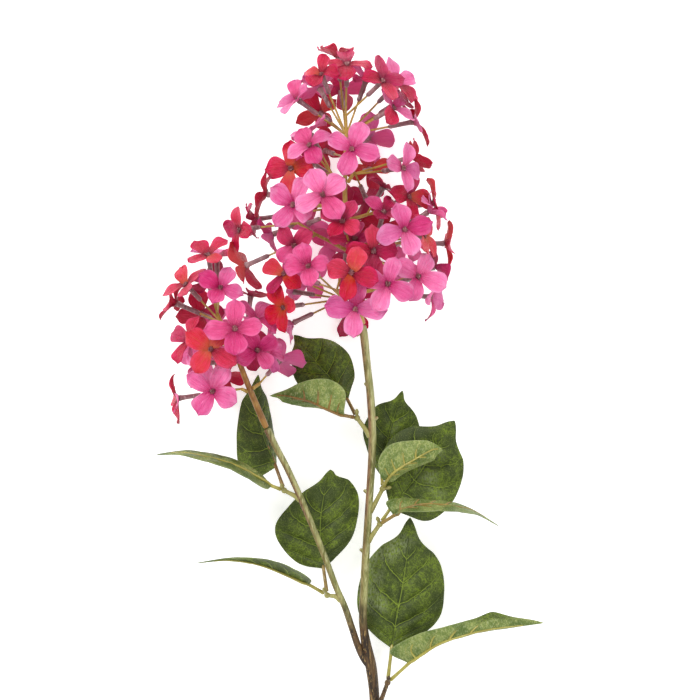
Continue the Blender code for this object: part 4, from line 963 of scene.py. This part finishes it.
def leaf_material():
    """Printed fabric leaf: dark above with thin yellow-green veins, painted shade in the vein grooves and
    painted sheen patches, sage below, woven all over.
    """
    g = Look("leaf_fabric", 0.5, specular=0.3)
    reach, across, side = (g.mark(word) for word in ("reach", "across", "side"))
    off = g.math("ABSOLUTE", across)
    wander = g.noise(140.0, 3.0)
    patch = g.noise(70.0, 4.0, 0.65)
    threads = g.noise(1500.0, 2.0, 0.7, 0.3)
    grain = g.noise(1900.0, 2.0, 0.7)
    # Side veins, as leaf_grid sinks them, with a little wander
    phase = g.minus(reach, g.times(off, VEIN_SLANT))
    phase = g.minus(phase, g.times(g.math("POWER", off, 2.0), VEIN_BEND))
    phase = g.plus(phase, g.times(g.minus(wander, 0.5), 0.05))
    apart = g.minus(g.math("FRACT", g.plus(g.times(phase, VEINS), 20.0)), 0.5)
    far = g.math("ABSOLUTE", apart)
    inner = g.times(g.ease(off, 0.45, 0.95, 1.0, 0.2), g.ease(reach, 0.72, 0.86, 1.0, 0.0))
    side_vein = g.times(g.ease(far, 0.006, 0.035, 1.0, 0.0), inner)
    middle_vein = g.times(g.ease(off, 0.006, 0.025, 1.0, 0.0), g.ease(reach, 0.5, 0.95, 1.0, 0.3))
    vein = g.math("MAXIMUM", side_vein, g.times(middle_vein, 0.6))
    # Painted shade: a near-black green in the grooves of the side veins, most on the side toward the base,
    # and along the middle rib
    painted_groove_shade = g.times(g.ease(far, 0.02, 0.2, 1.0, 0.0), g.ease(apart, -0.05, 0.02, 1.0, 0.25))
    painted_groove_shade = g.math("MAXIMUM", g.times(painted_groove_shade, inner), g.ease(off, 0.01, 0.09, 1.0, 0.0))
    # The net of small veins
    wobble = g.add("TexNoise", "Color", {"Scale": 300.0, "Vector": g.spots})
    shifted = g.mix(0.006, g.spots, wobble, "ADD")
    given = {"Scale": 290.0, "Vector": shifted}
    net = g.add("TexVoronoi", "Distance", given, feature="DISTANCE_TO_EDGE")
    small = g.times(g.ease(net, 0.0, 0.09, 1.0, 0.0), g.ease(patch, 0.42, 0.56))
    top = g.tint((58, 74, 6), (94, 112, 26), patch, 0.36, 0.64)
    top = g.tint(top, (38, 50, 8), grain, 0.35, 0.65, 0.45, 0.0)
    top = g.tint(top, (150, 162, 98), grain, 0.52, 0.72, 0.0, 0.5)
    # Painted sheen: pale grey-green patches along the woven threads of the dark face
    painted_sheen = g.ease(g.noise(34.0, 1.0), 0.55, 0.7, 0.0, 0.5)
    top = g.mix(g.times(painted_sheen, g.ease(threads, 0.36, 0.62)), top, (170, 182, 136))
    # Painted shade in the vein grooves and along the middle rib
    top = g.mix(g.times(painted_groove_shade, 0.72), top, (28, 42, 2))
    top = g.mix(g.times(small, 0.7), top, (134, 158, 38))
    top = g.mix(g.times(vein, 0.85), top, (158, 180, 66))
    under = g.tint((88, 112, 44), (142, 158, 82), patch, 0.35, 0.65)
    under = g.tint(under, (76, 96, 34), grain, 0.35, 0.6, 0.5, 0.0)
    under = g.tint(under, (194, 202, 146), threads, 0.5, 0.72, 0.0, 0.6)
    under = g.mix(g.times(small, 0.6), under, (190, 196, 120))
    under = g.mix(g.times(vein, 0.4), under, (190, 182, 100))
    under = g.tint(under, (186, 196, 140), off, 0.92, 1.0, 0.0, 0.3)
    height = g.minus(g.minus(g.times(grain, 0.5), g.times(vein, 0.8)), g.times(small, 0.3))
    return g.finish(g.mix(side, under, top), height, 0.0004, 0.9)


def make_looks():
    """Every material of the stem by its short name."""
    looks = {name: petal_material(name) for name in PETAL_ORDER}
    looks.update((name, plastic(*values)) for name, values in PLASTICS.items())
    looks["stem"] = stem_material()
    looks["leaf"] = leaf_material()
    return looks


def build_floor():
    """A pale table that glows a little, so that the photo's white ground stays white."""
    mesh = bpy.data.meshes.new("floor")
    corners = [(x * FLOOR_HALF, y * FLOOR_HALF, FLOOR_Z) for x, y in ((-1, -1), (1, -1), (1, 1), (-1, 1))]
    mesh.from_pydata(corners, [], [(0, 1, 2, 3)])
    floor = bpy.data.objects.new("floor", mesh)
    bpy.context.scene.collection.objects.link(floor)
    g = Look("floor_pale", 0.9, specular=0.2)
    g.set("Base Color", g.mix(g.noise(3.0), (0.90, 0.90, 0.90, 1.0), (0.93, 0.93, 0.93, 1.0)))
    g.set("Emission Color", WHITE)
    g.set("Emission Strength", FLOOR_GLOW)
    mesh.materials.append(g.made)


def build_stage():
    """The table, soft light from above and both sides, and a camera that looks straight down."""
    scene = bpy.context.scene
    scene.view_settings.view_transform = "Standard"
    build_floor()
    world = bpy.data.worlds.new("studio")
    world.use_nodes = True
    ground = world.node_tree.nodes["Background"]
    ground.inputs["Color"].default_value = WHITE
    ground.inputs["Strength"].default_value = WORLD_STRENGTH
    scene.world = world
    for name, spot, size, watts in LAMPS:
        light = bpy.data.lights.new(name, "AREA")
        light.shape = "DISK"
        light.size = size
        light.energy = watts
        lamp = bpy.data.objects.new(name, light)
        lamp.location = spot
        lamp.rotation_euler = (Vector(LAMPS_AIM) - Vector(spot)).to_track_quat("-Z", "Y").to_euler()
        lamp.visible_camera = False
        scene.collection.objects.link(lamp)
    camera = bpy.data.cameras.new("camera")
    camera.sensor_width = SENSOR
    camera.lens = SENSOR / PHOTO_WIDTH * CAMERA_UP
    camera.clip_start = 0.05
    eye = bpy.data.objects.new("camera", camera)
    x, y, _ = to_frame(np.array((0.0, PHOTO_MIDDLE_Y, 0.0)))
    eye.location = (x, y, FLOWER_Z + CAMERA_UP)
    scene.collection.objects.link(eye)
    scene.camera = eye


def main():
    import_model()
    looks = make_looks()
    build_stage()
    build_stems(looks)
    build_twigs(looks)
    build_leaves(looks)
    build_sprigs(looks)


main()
